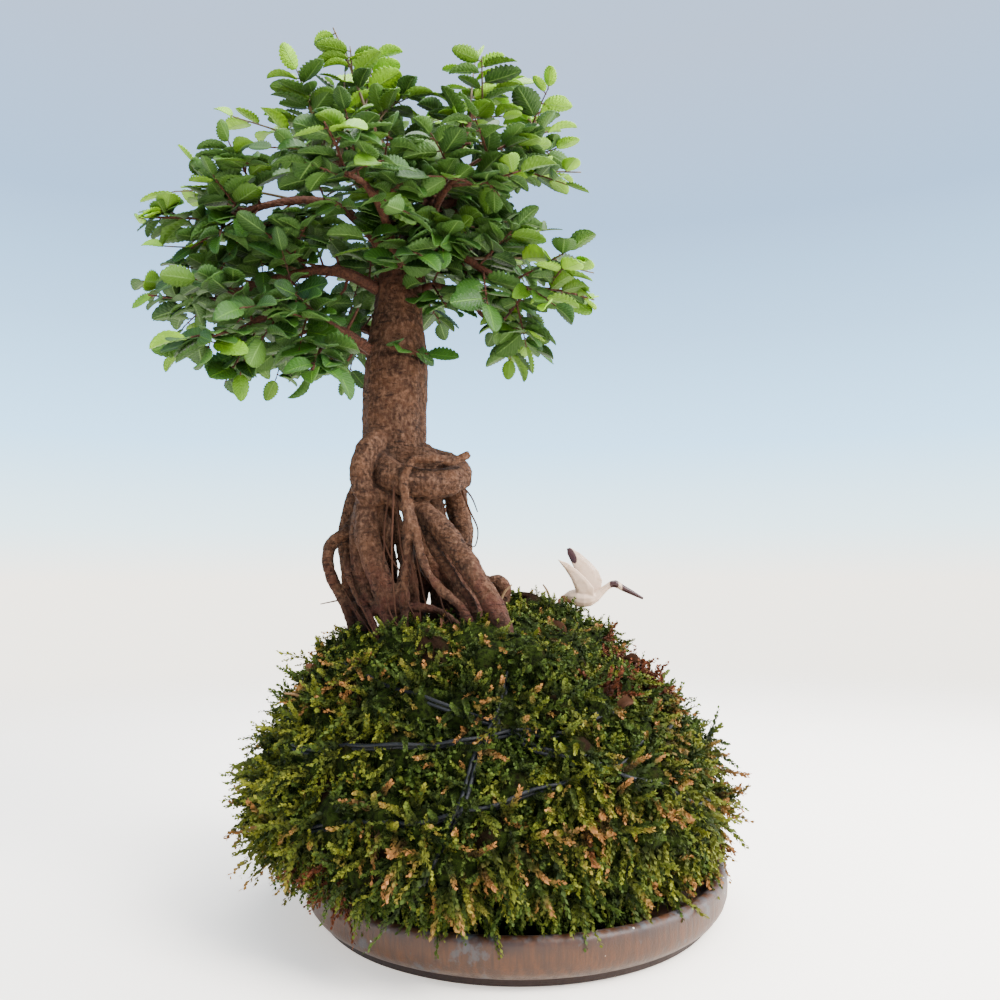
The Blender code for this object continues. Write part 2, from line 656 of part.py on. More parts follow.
CRANE_GROUND = BALL_TOP + 2.1 * MM      # the moss under its feet stands a little proud
WING_HALF = 0.45                # half the thickness of a wing, in millimetres
WING_LEAN = 0.22
CRANE_BODY = ((-6.5, 0, 8.0, 0.5), (-4.5, 0, 8.2, 1.5), (-1.5, 0, 8.2, 3.0), (2, 0, 8.0, 3.3),
              (4.5, 0, 8.2, 2.6), (6.5, 0, 9.6, 1.4), (8.5, 0, 11.2, 1.2), (10.5, 0, 12.3, 1.5),
              (12.4, 0, 12.4, 1.4), (14.2, 0, 11.4, 0.8), (18.5, 0, 8.6, 0.45), (22.5, 0, 6.2, 0.3))
CRANE_WINGS = {"crane_wing_front": ((-3.6, -1.6), (-9.0, 20.5)),
               "crane_wing_rear": ((-0.6, 1.6), (-3.6, 24.5))}


def leg_route(side, extra=0.0):
    points = ((-1.0 + side, side * 1.3, 5.2), (-1.4 + side, side * 1.4, 0.0),
              (-1.4 + side, side * 1.4, -11.0))
    return [Vector((*crane_point(*point), CRANE_LEG_R)) for point in points]


def leg_cutter():
    bm = bmesh.new()
    for side in (-1, 1):
        tube(bm, leg_route(side), 6, GAP)
    return add_object("leg_sockets", bm)


def build_crane():
    white = material("crane_white", (0.80, 0.78, 0.72), 0.35)
    black = material("crane_black", (0.03, 0.02, 0.02), 0.4)
    bm = bmesh.new()
    route = [Vector((*crane_point(x, y, z), r * CRANE_SCALE * MM)) for x, y, z, r in CRANE_BODY]
    tube(bm, route, 8)
    crane = add_object("crane_body", bm, white)
    for name, ((root_x, root_y), (tip_x, tip_z)) in CRANE_WINGS.items():
        bm = bmesh.new()
        outline = ((root_x - 2.6, 8.2), (root_x + 3.4, 8.6), (tip_x + 4.2, tip_z - 6.0),
                   (tip_x, tip_z), (tip_x - 2.4, tip_z - 7.0))
        lean = WING_LEAN if root_y > 0 else -WING_LEAN
        near = []
        far = []
        for x, z in outline:
            y = root_y + lean * (z - 8.2)
            near.append(bm.verts.new(crane_point(x, y - WING_HALF, z)))
            far.append(bm.verts.new(crane_point(x, y + WING_HALF, z)))
        bm.faces.new(near)
        bm.faces.new(list(reversed(far)))
        for i in range(len(outline)):
            after = (i + 1) % len(outline)
            bm.faces.new((near[after], near[i], far[i], far[after]))
        boolean(crane, "UNION", add_object(name, bm, white))
    for side, name in ((-1, "crane_leg_front"), (1, "crane_leg_rear")):
        bm = bmesh.new()
        tube(bm, leg_route(side), 6)
        add_object(name, bm, black)
    boolean(crane, "DIFFERENCE", leg_cutter())


build_saucer()
wood = build_wood()
build_cords(build_moss_and_soil((root_cutter, leg_cutter)))
build_shoots(build_limbs(), wood)
build_crane()
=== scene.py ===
"""Elm kokedama on a saucer: a small elm on a moss ball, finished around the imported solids."""
import math
import random

import bmesh
import bpy
import numpy as np
from mathutils import Matrix, Vector, noise
from mathutils.bvhtree import BVHTree
from mathutils.kdtree import KDTree


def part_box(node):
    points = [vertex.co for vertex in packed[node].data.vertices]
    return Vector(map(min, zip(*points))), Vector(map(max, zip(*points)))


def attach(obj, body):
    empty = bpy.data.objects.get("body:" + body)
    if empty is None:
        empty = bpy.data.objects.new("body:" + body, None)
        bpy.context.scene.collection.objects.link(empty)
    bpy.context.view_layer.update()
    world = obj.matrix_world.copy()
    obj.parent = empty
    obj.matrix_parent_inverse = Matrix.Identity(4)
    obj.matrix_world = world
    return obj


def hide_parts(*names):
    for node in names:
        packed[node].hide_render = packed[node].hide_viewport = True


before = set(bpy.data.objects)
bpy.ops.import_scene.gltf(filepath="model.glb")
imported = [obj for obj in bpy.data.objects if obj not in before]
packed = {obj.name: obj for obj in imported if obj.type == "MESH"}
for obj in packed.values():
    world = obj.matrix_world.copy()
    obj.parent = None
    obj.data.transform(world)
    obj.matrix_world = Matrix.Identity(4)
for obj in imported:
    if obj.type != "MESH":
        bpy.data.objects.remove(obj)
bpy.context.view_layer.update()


# ------------------------------------------------------------------ camera and studio
# A short lens close in front of the tree, just above the moss and tilted up a little. The
# floor is a wide pale table with a faint glow, which fades out into a sky that is cream at
# the horizon, blue above it and blue-grey overhead.

MM = 0.001
EYE = Vector((-5.2, -300.5, 109.0)) * MM
lens = bpy.data.cameras.new("camera")
lens.lens = 29.8
lens.sensor_width = 36.0
lens.clip_start = 0.01
camera = bpy.data.objects.new("camera", lens)
camera.location = EYE
camera.rotation_euler = (math.radians(95.55), math.radians(0.2), 0)
bpy.context.collection.objects.link(camera)
bpy.context.scene.camera = camera


def srgb(red, green, blue):
    """A colour given as a painter's 0-255 values, turned linear."""
    linear = []
    for value in (red, green, blue):
        share = value / 255
        linear.append(share / 12.92 if share <= 0.04045 else ((share + 0.055) / 1.055) ** 2.4)
    return (*linear, 1.0)


class Value:
    """A shader socket that takes part in Python sums."""

    def __init__(self, finish, socket):
        self.finish = finish
        self.socket = socket

    def sum(self, operation, first, second):
        return self.finish.node("ShaderNodeMath", {"operation": operation}, _0=first, _1=second)

    def __add__(self, other):
        return self.sum("ADD", self, other)

    def __sub__(self, other):
        return self.sum("SUBTRACT", self, other)

    def __rsub__(self, other):
        return self.sum("SUBTRACT", other, self)

    def __mul__(self, other):
        return self.sum("MULTIPLY", self, other)

    __radd__ = __add__
    __rmul__ = __mul__

    def __abs__(self):
        return self.finish.node("ShaderNodeMath", {"operation": "ABSOLUTE"}, _0=self)

    def fraction(self):
        return self.finish.node("ShaderNodeMath", {"operation": "FRACT"}, _0=self)

    def between(self, low, high):
        """0 below low and 1 above high, eased; the other way round when low is the larger."""
        return self.finish.node("ShaderNodeMapRange", {"interpolation_type": "SMOOTHSTEP"},
                                Value=self, From_Min=low, From_Max=high)


class Finish:
    """A Principled material and the one method that adds nodes to it."""

    def __init__(self, name, **constants):
        self.material = bpy.data.materials.new(name)
        self.material.use_nodes = True
        self.tree = self.material.node_tree
        self.shader = self.tree.nodes["Principled BSDF"]
        for key, value in constants.items():
            self.shader.inputs[key.replace("_", " ")].default_value = value

    def feed(self, socket, value):
        if isinstance(value, Value):
            self.tree.links.new(value.socket, socket)
        else:
            socket.default_value = value

    def node(self, kind, settings=None, output=0, **inputs):
        made = self.tree.nodes.new(kind)
        for key, value in (settings or {}).items():
            setattr(made, key, value)
        for key, value in inputs.items():
            name = int(key[1:]) if key.startswith("_") else key.replace("_", " ")
            self.feed(made.inputs[name], value)
        return Value(self, made.outputs[output])

    def place(self, scale=(1, 1, 1)):
        """Object coordinates in millimetres, stretched by scale."""
        spot = self.node("ShaderNodeTexCoord", output=3)
        return self.node("ShaderNodeMapping", Vector=spot, Scale=[1000 * s for s in scale])

    def height(self):
        return self.node("ShaderNodeSeparateXYZ", output=2, Vector=self.place())

    def clouds(self, size, detail=3.0, scale=(1, 1, 1), rough=0.55):
        """Soft noise whose blots are about size millimetres across."""
        return self.node("ShaderNodeTexNoise", Vector=self.place(scale), Scale=1.0 / size,
                         Detail=detail, Roughness=rough)

    def mix(self, share, first, second):
        return self.node("ShaderNodeMix", {"data_type": "RGBA"}, output=2, _0=share, _6=first,
                         _7=second)

    def paint(self):
        """The three values painted over the surface, as red, green and blue."""
        colour = self.node("ShaderNodeAttribute", {"attribute_name": "paint"})
        split = self.node("ShaderNodeSeparateColor", _0=colour).socket.node
        return [Value(self, socket) for socket in split.outputs]

    def colour(self, value):
        self.feed(self.shader.inputs["Base Color"], value)

    def roughness(self, value):
        self.feed(self.shader.inputs["Roughness"], value)

    def relief(self, height, depth, strength=1.0):
        """Bump of this height, whose full range is depth millimetres."""
        bump = self.node("ShaderNodeBump", Height=height, Distance=depth * MM, Strength=strength)
        self.feed(self.shader.inputs["Normal"], bump)


def add_object(name, mesh, *finishes):
    made = bpy.data.objects.new(name, mesh)
    bpy.context.collection.objects.link(made)
    for finish in finishes:
        mesh.materials.append(finish.material)
    return made


def mesh_from(name, bm):
    """A smooth-shaded mesh of a finished bmesh, with its faces turned outwards."""
    bmesh.ops.recalc_face_normals(bm, faces=bm.faces)
    mesh = bpy.data.meshes.new(name)
    bm.to_mesh(mesh)
    bm.free()
    mesh.shade_smooth()
    return mesh


TABLE_FADE = (900, 240)         # clear beyond the first distance, whole within the second
table_top = Finish("pale_table", Roughness=0.7, Emission_Strength=0.8,
                   Emission_Color=srgb(255, 240, 224))
table_top.colour(table_top.mix(table_top.clouds(60), srgb(245, 235, 221), srgb(250, 241, 228)))
from_middle = table_top.node("ShaderNodeVectorMath", {"operation": "LENGTH"}, output=1,
                             _0=table_top.place())
table_top.feed(table_top.shader.inputs["Alpha"], from_middle.between(*TABLE_FADE))
bm = bmesh.new()
bmesh.ops.create_circle(bm, cap_ends=True, segments=96, radius=1.0)
bmesh.ops.translate(bm, verts=bm.verts, vec=(0, 0, -0.2 * MM))
add_object("table_top", mesh_from("table_top", bm), table_top)

world = bpy.data.worlds.new("studio")
bpy.context.scene.world = world
world.use_nodes = True
sky_nodes = world.node_tree.nodes
sky_ramp = sky_nodes.new("ShaderNodeValToRGB")
split = sky_nodes.new("ShaderNodeSeparateXYZ")
direction = sky_nodes.new("ShaderNodeTexCoord")
world.node_tree.links.new(direction.outputs["Generated"], split.inputs[0])
world.node_tree.links.new(split.outputs["Z"], sky_ramp.inputs[0])
world.node_tree.links.new(sky_ramp.outputs[0], sky_nodes["Background"].inputs[0])
# the sky's colour at each height, from 0 at the horizon to 1 overhead
SKY = ((0.0, (0.92, 0.87, 0.78)), (0.06, (0.60, 0.82, 0.90)), (0.16, (0.32, 0.61, 0.88)),
       (0.28, (0.23, 0.41, 0.61)), (0.40, (0.17, 0.28, 0.43)), (0.55, (0.20, 0.26, 0.36)))
for number, (height, colour) in enumerate(SKY):
    stops = sky_ramp.color_ramp.elements
    stop = stops[number] if number < 2 else stops.new(height)
    stop.position = height
    stop.color = (*colour, 1.0)
sky_nodes["Background"].inputs["Strength"].default_value = 4.0

# soft square panels: the place and side in metres, and the power in watts
LIGHTS = {"key_panel": ((0.60, -0.45, 0.80), 0.5, 36.0),
          "overhead_panel": ((0.05, 0.10, 1.0), 0.9, 26.0),
          "side_panel": ((0.95, 0.05, 0.35), 0.6, 17.0)}
LIT_POINT = Vector((-0.02, 0, 0.13))
for name, (place, size, power) in LIGHTS.items():
    panel = bpy.data.lights.new(name, "AREA")
    panel.size = size
    panel.energy = power
    holder = bpy.data.objects.new(name, panel)
    holder.location = place
    holder.rotation_euler = (Vector(place) - LIT_POINT).to_track_quat("Z", "Y").to_euler()
    bpy.context.collection.objects.link(holder)


def belongs(made, slot, *nodes):
    """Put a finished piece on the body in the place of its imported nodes."""
    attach(made, "root")
    if nodes:
        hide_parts(*nodes)
    return made


# ------------------------------------------------------------------ saucer
# A thrown stoneware saucer with a rounded lip and a bare dark foot. The brown glaze breaks
# to blue-grey on the lip and in blotches, and runs down the wall in short streaks.

_, saucer_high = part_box("saucer")
LIP_R = saucer_high.x
LIP_Z = saucer_high.z
WALL = 4.4 * MM
FLOOR_Z = 4.2 * MM
FOOT_Z = 2.6 * MM
WAVER = 0.0022                  # how far the thrown wall strays from a true circle


def saucer_outline():
    """From the middle of the underside round the lip to the middle of the floor."""
    foot = [(0, 0), (LIP_R - 6.6 * MM, 0), (LIP_R - 5.4 * MM, 0.1 * MM), (LIP_R - 4.9 * MM, 0.6 * MM),
            (LIP_R - 4.2 * MM, FOOT_Z), (LIP_R - 3.4 * MM, FOOT_Z + 0.15 * MM)]
    wall = [(LIP_R - 2.2 * MM, 3.6 * MM), (LIP_R - 0.9 * MM, 5.4 * MM), (LIP_R - 0.2 * MM, 7.4 * MM),
            (LIP_R, 9.6 * MM), (LIP_R - 0.05 * MM, LIP_Z - 3.0 * MM)]
    lip = []
    for step in range(9):
        turn = math.pi * step / 8
        lip.append((LIP_R - WALL / 2 + WALL / 2 * math.cos(turn),
                    LIP_Z - WALL / 2 + WALL / 2 * math.sin(turn)))
    inside = [(LIP_R - WALL - 0.3 * MM, 9.0 * MM), (LIP_R - WALL - 1.2 * MM, 6.6 * MM),
              (LIP_R - WALL - 3.2 * MM, FLOOR_Z + 0.7 * MM), (LIP_R - WALL - 7.0 * MM, FLOOR_Z),
              (0, FLOOR_Z)]
    return foot + wall + lip + inside


bm = bmesh.new()
line = [bm.verts.new((r, 0, z)) for r, z in saucer_outline()]
edges = [bm.edges.new(pair) for pair in zip(line, line[1:])]
bmesh.ops.spin(bm, geom=line + edges, cent=(0, 0, 0), axis=(0, 0, 1), dvec=(0, 0, 0),
               angle=2 * math.pi, steps=160, use_merge=True, use_duplicate=False)
bmesh.ops.remove_doubles(bm, verts=bm.verts, dist=1e-6)
for vert in bm.verts:
    stray = 1 + WAVER * noise.noise(vert.co * 45)
    vert.co.x *= stray
    vert.co.y *= stray

glaze = Finish("brown_glaze", Coat_Weight=0.06, Coat_Roughness=0.3, Specular_IOR_Level=0.3)
height = glaze.height()
streaks = glaze.clouds(1.3, 5, scale=(1, 1, 0.14))
drips = glaze.clouds(5.0, 3, scale=(1, 1, 0.3))
blots = glaze.clouds(8, 5, scale=(1, 1, 0.9), rough=0.65)
body = glaze.mix(streaks.between(0.30, 0.72), srgb(46, 24, 8), srgb(70, 38, 13))
body = glaze.mix(glaze.clouds(0.7, 2).between(0.50, 0.75) * 0.5, body, srgb(46, 27, 18))
band = height.between(9.6, 12.4) * height.between(14.3, 13.2)
body = glaze.mix(band * drips.between(0.25, 0.75) * 0.9, body, srgb(38, 21, 14))
body = glaze.mix(blots.between(0.57, 0.66) * 0.5, body, srgb(60, 66, 70))
lip_top = height.between(13.0, 14.2)
body = glaze.mix(lip_top * glaze.clouds(2.5, 4).between(0.45, 0.65) * 0.6, body, srgb(62, 64, 66))
low = height.between(5.4, 3.2) * streaks.between(0.35, 0.65) * 0.6
body = glaze.mix(low, body, srgb(84, 76, 68))
foot = (height + 0.9 * drips).between(3.5, 3.2)
body = glaze.mix(foot, body, srgb(34, 19, 13))
specks = glaze.node("ShaderNodeTexVoronoi", Vector=glaze.place(), Scale=0.16).between(0.055, 0.03)
body = glaze.mix(specks * (1 - foot), body, srgb(200, 190, 175))
glaze.colour(body)
glaze.roughness(0.45 + 0.4 * foot + 0.2 * streaks)
glaze.relief(streaks + 0.6 * glaze.clouds(0.5, 2) + 0.5 * drips, 0.15)
saucer = add_object("glazed_saucer", mesh_from("glazed_saucer", bm), glaze)
belongs(saucer, "brown_glaze", "saucer")


# ------------------------------------------------------------------ soil core
# Dark moist soil, pressed into a ball under the tree and wrapped in the moss. It keeps its
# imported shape, because hardly any of it can be seen.

soil = Finish("moist_soil", Roughness=0.95)
crumbs = soil.clouds(1.2, 6, rough=0.7)
soil.colour(soil.mix(crumbs, srgb(14, 10, 7), srgb(40, 29, 20)))
soil.relief(crumbs, 0.8)
packed["soil_core"].data.materials.clear()
packed["soil_core"].data.materials.append(soil.material)


# ------------------------------------------------------------------ trunk and roots
# The elm's trunk and its bare roots grew together as one piece of wood. The imported wood is
# rebuilt finely, its joins are smoothed into each other, the bark is wrinkled, and its
# creases are darkened with painted shade.

def merged_copy(node):
    bm = bmesh.new()
    bm.from_mesh(packed[node].data)
    bmesh.ops.remove_doubles(bm, verts=bm.verts, dist=1e-6)
    return bm


def remeshed(name, bm, voxel, rounds):
    """The solid in even small faces, smoothed a number of rounds."""
    source = add_object(name, mesh_from(name, bm))
    step = source.modifiers.new("even", "REMESH")
    step.mode = "VOXEL"
    step.voxel_size = voxel
    step = source.modifiers.new("soft", "SMOOTH")
    step.factor = 0.5
    step.iterations = rounds
    graph = bpy.context.evaluated_depsgraph_get()
    mesh = bpy.data.meshes.new_from_object(source.evaluated_get(graph))
    bpy.data.objects.remove(source)
    mesh.name = name
    mesh.shade_smooth()
    return mesh


def smooth_route(points, spacing, radius, tip=None):
    """Even steps along a soft curve through points in millimetres, with a radius at each."""
    keys = [Vector(point) * MM for point in points]
    keys = [2 * keys[0] - keys[1]] + keys + [2 * keys[-1] - keys[-2]]
    fine = []
    for a, b, c, d in zip(keys, keys[1:], keys[2:], keys[3:]):
        steps = max(2, round((c - b).length / (spacing * MM)))
        for step in range(steps):
            t = step / steps
            fine.append(0.5 * (2 * b + (c - a) * t + (2 * a - 5 * b + 4 * c - d) * t * t
                               + (3 * b - a - 3 * c + d) * t ** 3))
    fine.append(keys[-2])
    tip = radius if tip is None else tip
    last = len(fine) - 1
    return [(spot, (radius + (tip - radius) * i / last) * MM) for i, spot in enumerate(fine)]


def rods(name, routes, resolution=1, closed=False):
    """Round rods along routes of (place, radius), as one mesh."""
    curve = bpy.data.curves.new(name, "CURVE")
    curve.dimensions = "3D"
    curve.bevel_depth = 1.0
    curve.bevel_resolution = resolution
    curve.use_fill_caps = not closed
    for route in routes:
        spline = curve.splines.new("POLY")
        spline.points.add(len(route) - 1)
        spline.use_cyclic_u = closed
        for point, (place, radius) in zip(spline.points, route):
            point.co = (*place, 1.0)
            point.radius = radius
    holder = bpy.data.objects.new(name, curve)
    bpy.context.collection.objects.link(holder)
    graph = bpy.context.evaluated_depsgraph_get()
    mesh = bpy.data.meshes.new_from_object(holder.evaluated_get(graph))
    bpy.data.objects.remove(holder)
    bpy.data.curves.remove(curve)
    bm = bmesh.new()
    bm.from_mesh(mesh)
    bmesh.ops.remove_doubles(bm, verts=bm.verts, dist=1e-7)
    bpy.data.meshes.remove(mesh)
    return mesh_from(name, bm)


def push(mesh, swell):
    """Move every point along its normal by swell(place, normal), in millimetres."""
    normals = [vert.normal.copy() for vert in mesh.vertices]
    for vert, normal in zip(mesh.vertices, normals):
        vert.co += normal * (swell(vert.co / MM, normal) * MM)
    mesh.update()


TRUNK_Z = 158.0                 # in millimetres: where the roots have joined,
GRAFT_Z = 191.0                 # the ring of the graft,
HEAD_Z = 208.0                  # and the start of the knobbed head


def clamped(value):
    return max(0.0, min(1.0, value))


def bark_swell(place, normal):
    """Lumps along a root, rings round the trunk, the graft scar and the knobbed head."""
    lumps = noise.fractal(place * 0.16, 1.0, 2.0, 3)
    rings = noise.noise(Vector((place.x * 0.10, place.y * 0.10, place.z * 0.9)))
    fine = noise.noise(place * 1.1)
    head = clamped((place.z - HEAD_Z) / 14)
    scar = math.exp(-((place.z - GRAFT_Z + 0.8 * math.sin(place.x * 0.3)) / 0.7) ** 2)
    lip = math.exp(-((place.z - GRAFT_Z - 1.8) / 1.2) ** 2)
    trunk = clamped((place.z - TRUNK_Z) / 6)
    knobs = head * (1.1 * noise.noise(place * 0.42) + 0.7 * noise.noise(place * 0.9))
    graft = trunk * (0.35 * lip - 0.55 * scar)
    return 0.32 + 0.45 * lumps + 0.16 * rings + 0.10 * fine + knobs + graft


bark = Finish("elm_bark", Roughness=0.85, Specular_IOR_Level=0.12)
height = bark.height()
broad = bark.clouds(7, 4)
grain = bark.clouds(1.3, 4, scale=(1, 1, 0.7), rough=0.6)
wood = bark.mix(broad.between(0.30, 0.70), srgb(36, 20, 11), srgb(60, 36, 21))
wood = bark.mix(grain.between(0.35, 0.80) * 0.65, wood, srgb(106, 76, 57))
damp = height.between(126, 98)
wood = bark.mix(damp * bark.clouds(9, 3).between(0.42, 0.60) * 0.6, wood, srgb(66, 31, 24))
wood = bark.mix(height.between(110, 92) * 0.65, wood, srgb(44, 24, 17))
head = height.between(206, 226)
wood = bark.mix(head * 0.8, wood, srgb(52, 29, 20))
lenticels = bark.clouds(1.9, 3, scale=(0.55, 0.55, 1.7), rough=0.5)
zones = bark.clouds(8, 2, scale=(1, 1, 1.4)).between(0.50, 0.60)
marks = lenticels.between(0.58, 0.63) * zones
wood = bark.mix(marks * 0.75, wood, srgb(28, 17, 11))
cracks = bark.clouds(0.9, 4, scale=(0.5, 0.5, 1.6), rough=0.7).between(0.42, 0.30)
wood = bark.mix(cracks * 0.5, wood, srgb(34, 21, 14))
# painted shade: the bark is darkened where its surface sinks into creases, by the red of the paint
# attribute
wood = bark.mix(bark.paint()[0] * 0.8, wood, srgb(22, 12, 7))
bark.colour(wood)
bark.relief(grain + 0.8 * lenticels - 0.9 * cracks + 0.5 * marks, 0.9)

# roots that show between the others or lie on the moss, and the radius of each
INNER_ROOTS = (
    ((-34, 4, 146), (-33, 1, 130), (-30, -3, 116), (-22, -5, 105), (-12, -7, 97), (-6, -8, 86)),
    ((-46, 0, 136), (-41, -4, 126), (-38, -6, 114), (-36, -6, 102), (-35, -6, 88)),
    ((-48, -17, 99), (-42, -20, 100), (-34, -21, 100), (-26, -20, 99), (-19, -18, 94)),
    ((-51, -12, 142), (-45, -14, 138), (-39, -15, 135), (-34, -15, 133)),
    ((-12, 2, 105), (-7.5, 0, 108), (-5.0, -1, 107.5), (-3.8, -2, 105), (-4.5, -2, 100)),
    ((-33, 4, 142), (-34, 5, 124), (-34, 3, 108), (-36, 2, 90)),
    ((-50, -6, 146), (-53.5, -9, 134), (-55, -10, 123), (-53, -11, 112), (-48.5, -13, 102),
     (-42, -15, 92)),
    ((-55, -6, 128), (-60, -7, 126), (-65, -8, 122), (-66, -8, 116), (-64, -8, 109),
     (-60, -9, 102), (-56, -11, 92)),
    ((-58, -5, 122), (-60, -6, 114), (-59, -8, 106), (-55, -11, 99), (-50, -14, 92)),
)
INNER_RADII = (5.0, 2.8, 1.4, 2.4, 3.2, 3.6, 3.3, 1.9, 1.3)

bm = merged_copy("trunk_with_roots")
for points, radius in zip(INNER_ROOTS, INNER_RADII):
    bm.from_mesh(rods("inner_root", [smooth_route(points, 2.0, radius, radius * 0.75)], 3))
wood_mesh = remeshed("elm_wood", bm, 0.62 * MM, 6)
push(wood_mesh, bark_swell)


def paint_crease_shade(mesh, rounds, full):
    """Paint red where the surface is sunk below its surroundings by up to full millimetres: painted
    shade, which darkens the bark in its creases.
    """
    count = len(mesh.vertices)
    places = np.empty(count * 3)
    mesh.vertices.foreach_get("co", places)
    places = places.reshape(-1, 3)
    ends = np.empty(len(mesh.edges) * 2, dtype=np.int64)
    mesh.edges.foreach_get("vertices", ends)
    first, second = ends[::2], ends[1::2]
    degree = np.bincount(first, minlength=count) + np.bincount(second, minlength=count)
    soft = places.copy()
    for _ in range(rounds):
        total = np.zeros_like(soft)
        for axis in range(3):
            total[:, axis] = (np.bincount(first, soft[second, axis], count)
                              + np.bincount(second, soft[first, axis], count))
        soft = total / np.maximum(degree, 1)[:, None]
    normals = np.array([vert.normal for vert in mesh.vertices])
    sunk = ((soft - places) * normals).sum(1) / (full * MM)
    colours = np.ones((count, 4))
    colours[:, 0] = np.clip(sunk, 0, 1)
    layer = mesh.attributes.new("paint", "FLOAT_COLOR", "POINT")
    layer.data.foreach_set("color", colours.ravel())


# painted shade: how deep each crease sinks, for the bark to darken it
paint_crease_shade(wood_mesh, 14, 0.45)
elm_wood = add_object("elm_trunk_and_roots", wood_mesh, bark)
belongs(elm_wood, "elm_bark", "trunk_with_roots")


# ------------------------------------------------------------------ hair roots
# Fine dry roots, less than a millimetre thick, that grew out of the thick ones. They hang
# from their underside and run down to the moss.

HAIR_ROOTS = (
    ((-41, -21, 141), (-41, -24, 132), (-41, -26, 118), (-40, -27, 104), (-39, -28, 96)),
    ((-40, -20, 136), (-39, -23, 126), (-37, -25, 115), (-33, -26, 106)),
    ((-43, -19, 138), (-44, -22, 128), (-44, -24, 116), (-46, -25, 103)),
    ((-45, -20, 124), (-42, -22, 117), (-38, -24, 111), (-36, -26, 103), (-33, -27, 97)),
    ((-36, -24, 121), (-34, -27, 113), (-32, -28, 104), (-31, -29, 96)),
    ((-33, -26, 118), (-31, -28, 109), (-29, -30, 100)),
    ((-24, -16, 134), (-24, -17, 127), (-23, -16, 121)),
    ((-27, -17, 134), (-28, -18, 126), (-27, -17, 118)),
    ((-19, -8, 142), (-16, -9, 134), (-13, -9, 127), (-14, -9, 121), (-17, -8, 122)),
    ((-18, -9, 142), (-15, -10, 138), (-13, -10, 133)),
    ((-57, -12, 112), (-54, -16, 104), (-50, -21, 97), (-46, -26, 91)),
    ((-61, -8, 108), (-56, -13, 101), (-51, -18, 95), (-47, -23, 90)),
    ((-58, -9, 103), (-63, -9, 102), (-68, -9, 101)),
    ((-55, -6, 126), (-52, -12, 116), (-47, -20, 108), (-43, -22, 99)),
    ((-49, -20, 112), (-44, -24, 106), (-41, -27, 98), (-38, -30, 94)),
    ((-30, -12, 118), (-36, -14, 111), (-42, -14, 107)),
    ((-38, -6, 122), (-42, -8, 116), (-46, -10, 113)),
    ((-26, -20, 106), (-24, -24, 100), (-21, -28, 95)),
)
hair_bark = Finish("hair_root_bark", Roughness=0.85, Specular_IOR_Level=0.1)
hair_bark.colour(hair_bark.mix(hair_bark.clouds(3), srgb(34, 17, 10), srgb(68, 42, 28)))
hairs = []
for number, points in enumerate(HAIR_ROOTS):
    hairs.append(smooth_route(points, 1.0, 0.42 - 0.04 * (number % 4), 0.2))
belongs(add_object("hair_roots", rods("hair_roots", hairs), hair_bark), "elm_bark")


# ------------------------------------------------------------------ moss ball
# A skin of feather moss: a dark matted base, and thousands of small leafy shoots that stand
# out of it at the top, lean out at the sides and hang over the saucer's lip.

UP = Vector((0, 0, 1))


def mesh_tree(mesh):
    """A search tree of a mesh's faces."""
    return BVHTree.FromPolygons([vert.co for vert in mesh.vertices],
                                [face.vertices[:] for face in mesh.polygons])


def place_tree(places):
    """A search tree of single places."""
    tree = KDTree(len(places))
    for index, place in enumerate(places):
        tree.insert(place, index)
    tree.balance()
    return tree


def any_way(dice, most=1):
    """A random direction whose three parts go up to most."""
    return Vector([dice.uniform(-most, most) for _ in range(3)])


moss_low, moss_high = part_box("moss_cover")
moss_middle = (moss_low + moss_high) / 2
moss_tree = BVHTree.FromBMesh(merged_copy("moss_cover"))
wood_tree = mesh_tree(wood_mesh)
moss_dice = random.Random(7)
bm = bmesh.new()
bmesh.ops.create_uvsphere(bm, u_segments=192, v_segments=120, radius=1.0)
for vert in bm.verts:
    out = vert.co.normalized()
    vert.co = moss_tree.ray_cast(moss_middle + out * 0.3, -out)[0]
for _ in range(4):
    bmesh.ops.smooth_vert(bm, verts=bm.verts, factor=0.5, use_axis_x=True, use_axis_y=True,
                          use_axis_z=True)
bm.normal_update()

TUSSOCK = 7.5                   # a tussock's rough radius, in millimetres
TUSSOCK_GAP = 1.7 * TUSSOCK * MM
LOWEST_TUSSOCK = 14 * MM
SEAT_Z = 16 * MM                # below this the ball rests in the saucer and keeps its shape
tussocks = []
for vert in sorted(bm.verts, key=lambda vert: moss_dice.random()):
    if vert.co.z > LOWEST_TUSSOCK and all((vert.co - other).length > TUSSOCK_GAP for other in tussocks):
        tussocks.append(vert.co.copy())
tussock_tree = place_tree(tussocks)
# mounds of thicker moss under the crane and round the feet of the roots: place, reach, height
MOUNDS = (((26, 8, 94), 18, 5.6), ((9, 2, 95), 16, 8.4), ((-62, -12, 86), 17, 4.5),
          ((-2, -38, 86), 14, 9.0), ((-30, -36, 86), 14, 6.0))


def smooth_step(low, high, value):
    share = clamped((value - low) / (high - low))
    return share * share * (3 - 2 * share)


def top_swell(place):
    """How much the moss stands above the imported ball: most on top and in a few mounds."""
    rise = 2.6 * smooth_step(0.062, 0.088, place.z)
    for middle, reach, height in MOUNDS:
        rise += height * math.exp(-((place - Vector(middle) * MM).length / (reach * MM)) ** 2)
    return rise


for vert in bm.verts:
    if vert.co.z > SEAT_Z:
        gap = tussock_tree.find(vert.co)[2] / MM
        swell = 1.5 - 0.62 * gap + 1.5 * noise.noise(vert.co / MM * 0.05) + top_swell(vert.co)
        vert.co += vert.normal * (swell * MM)

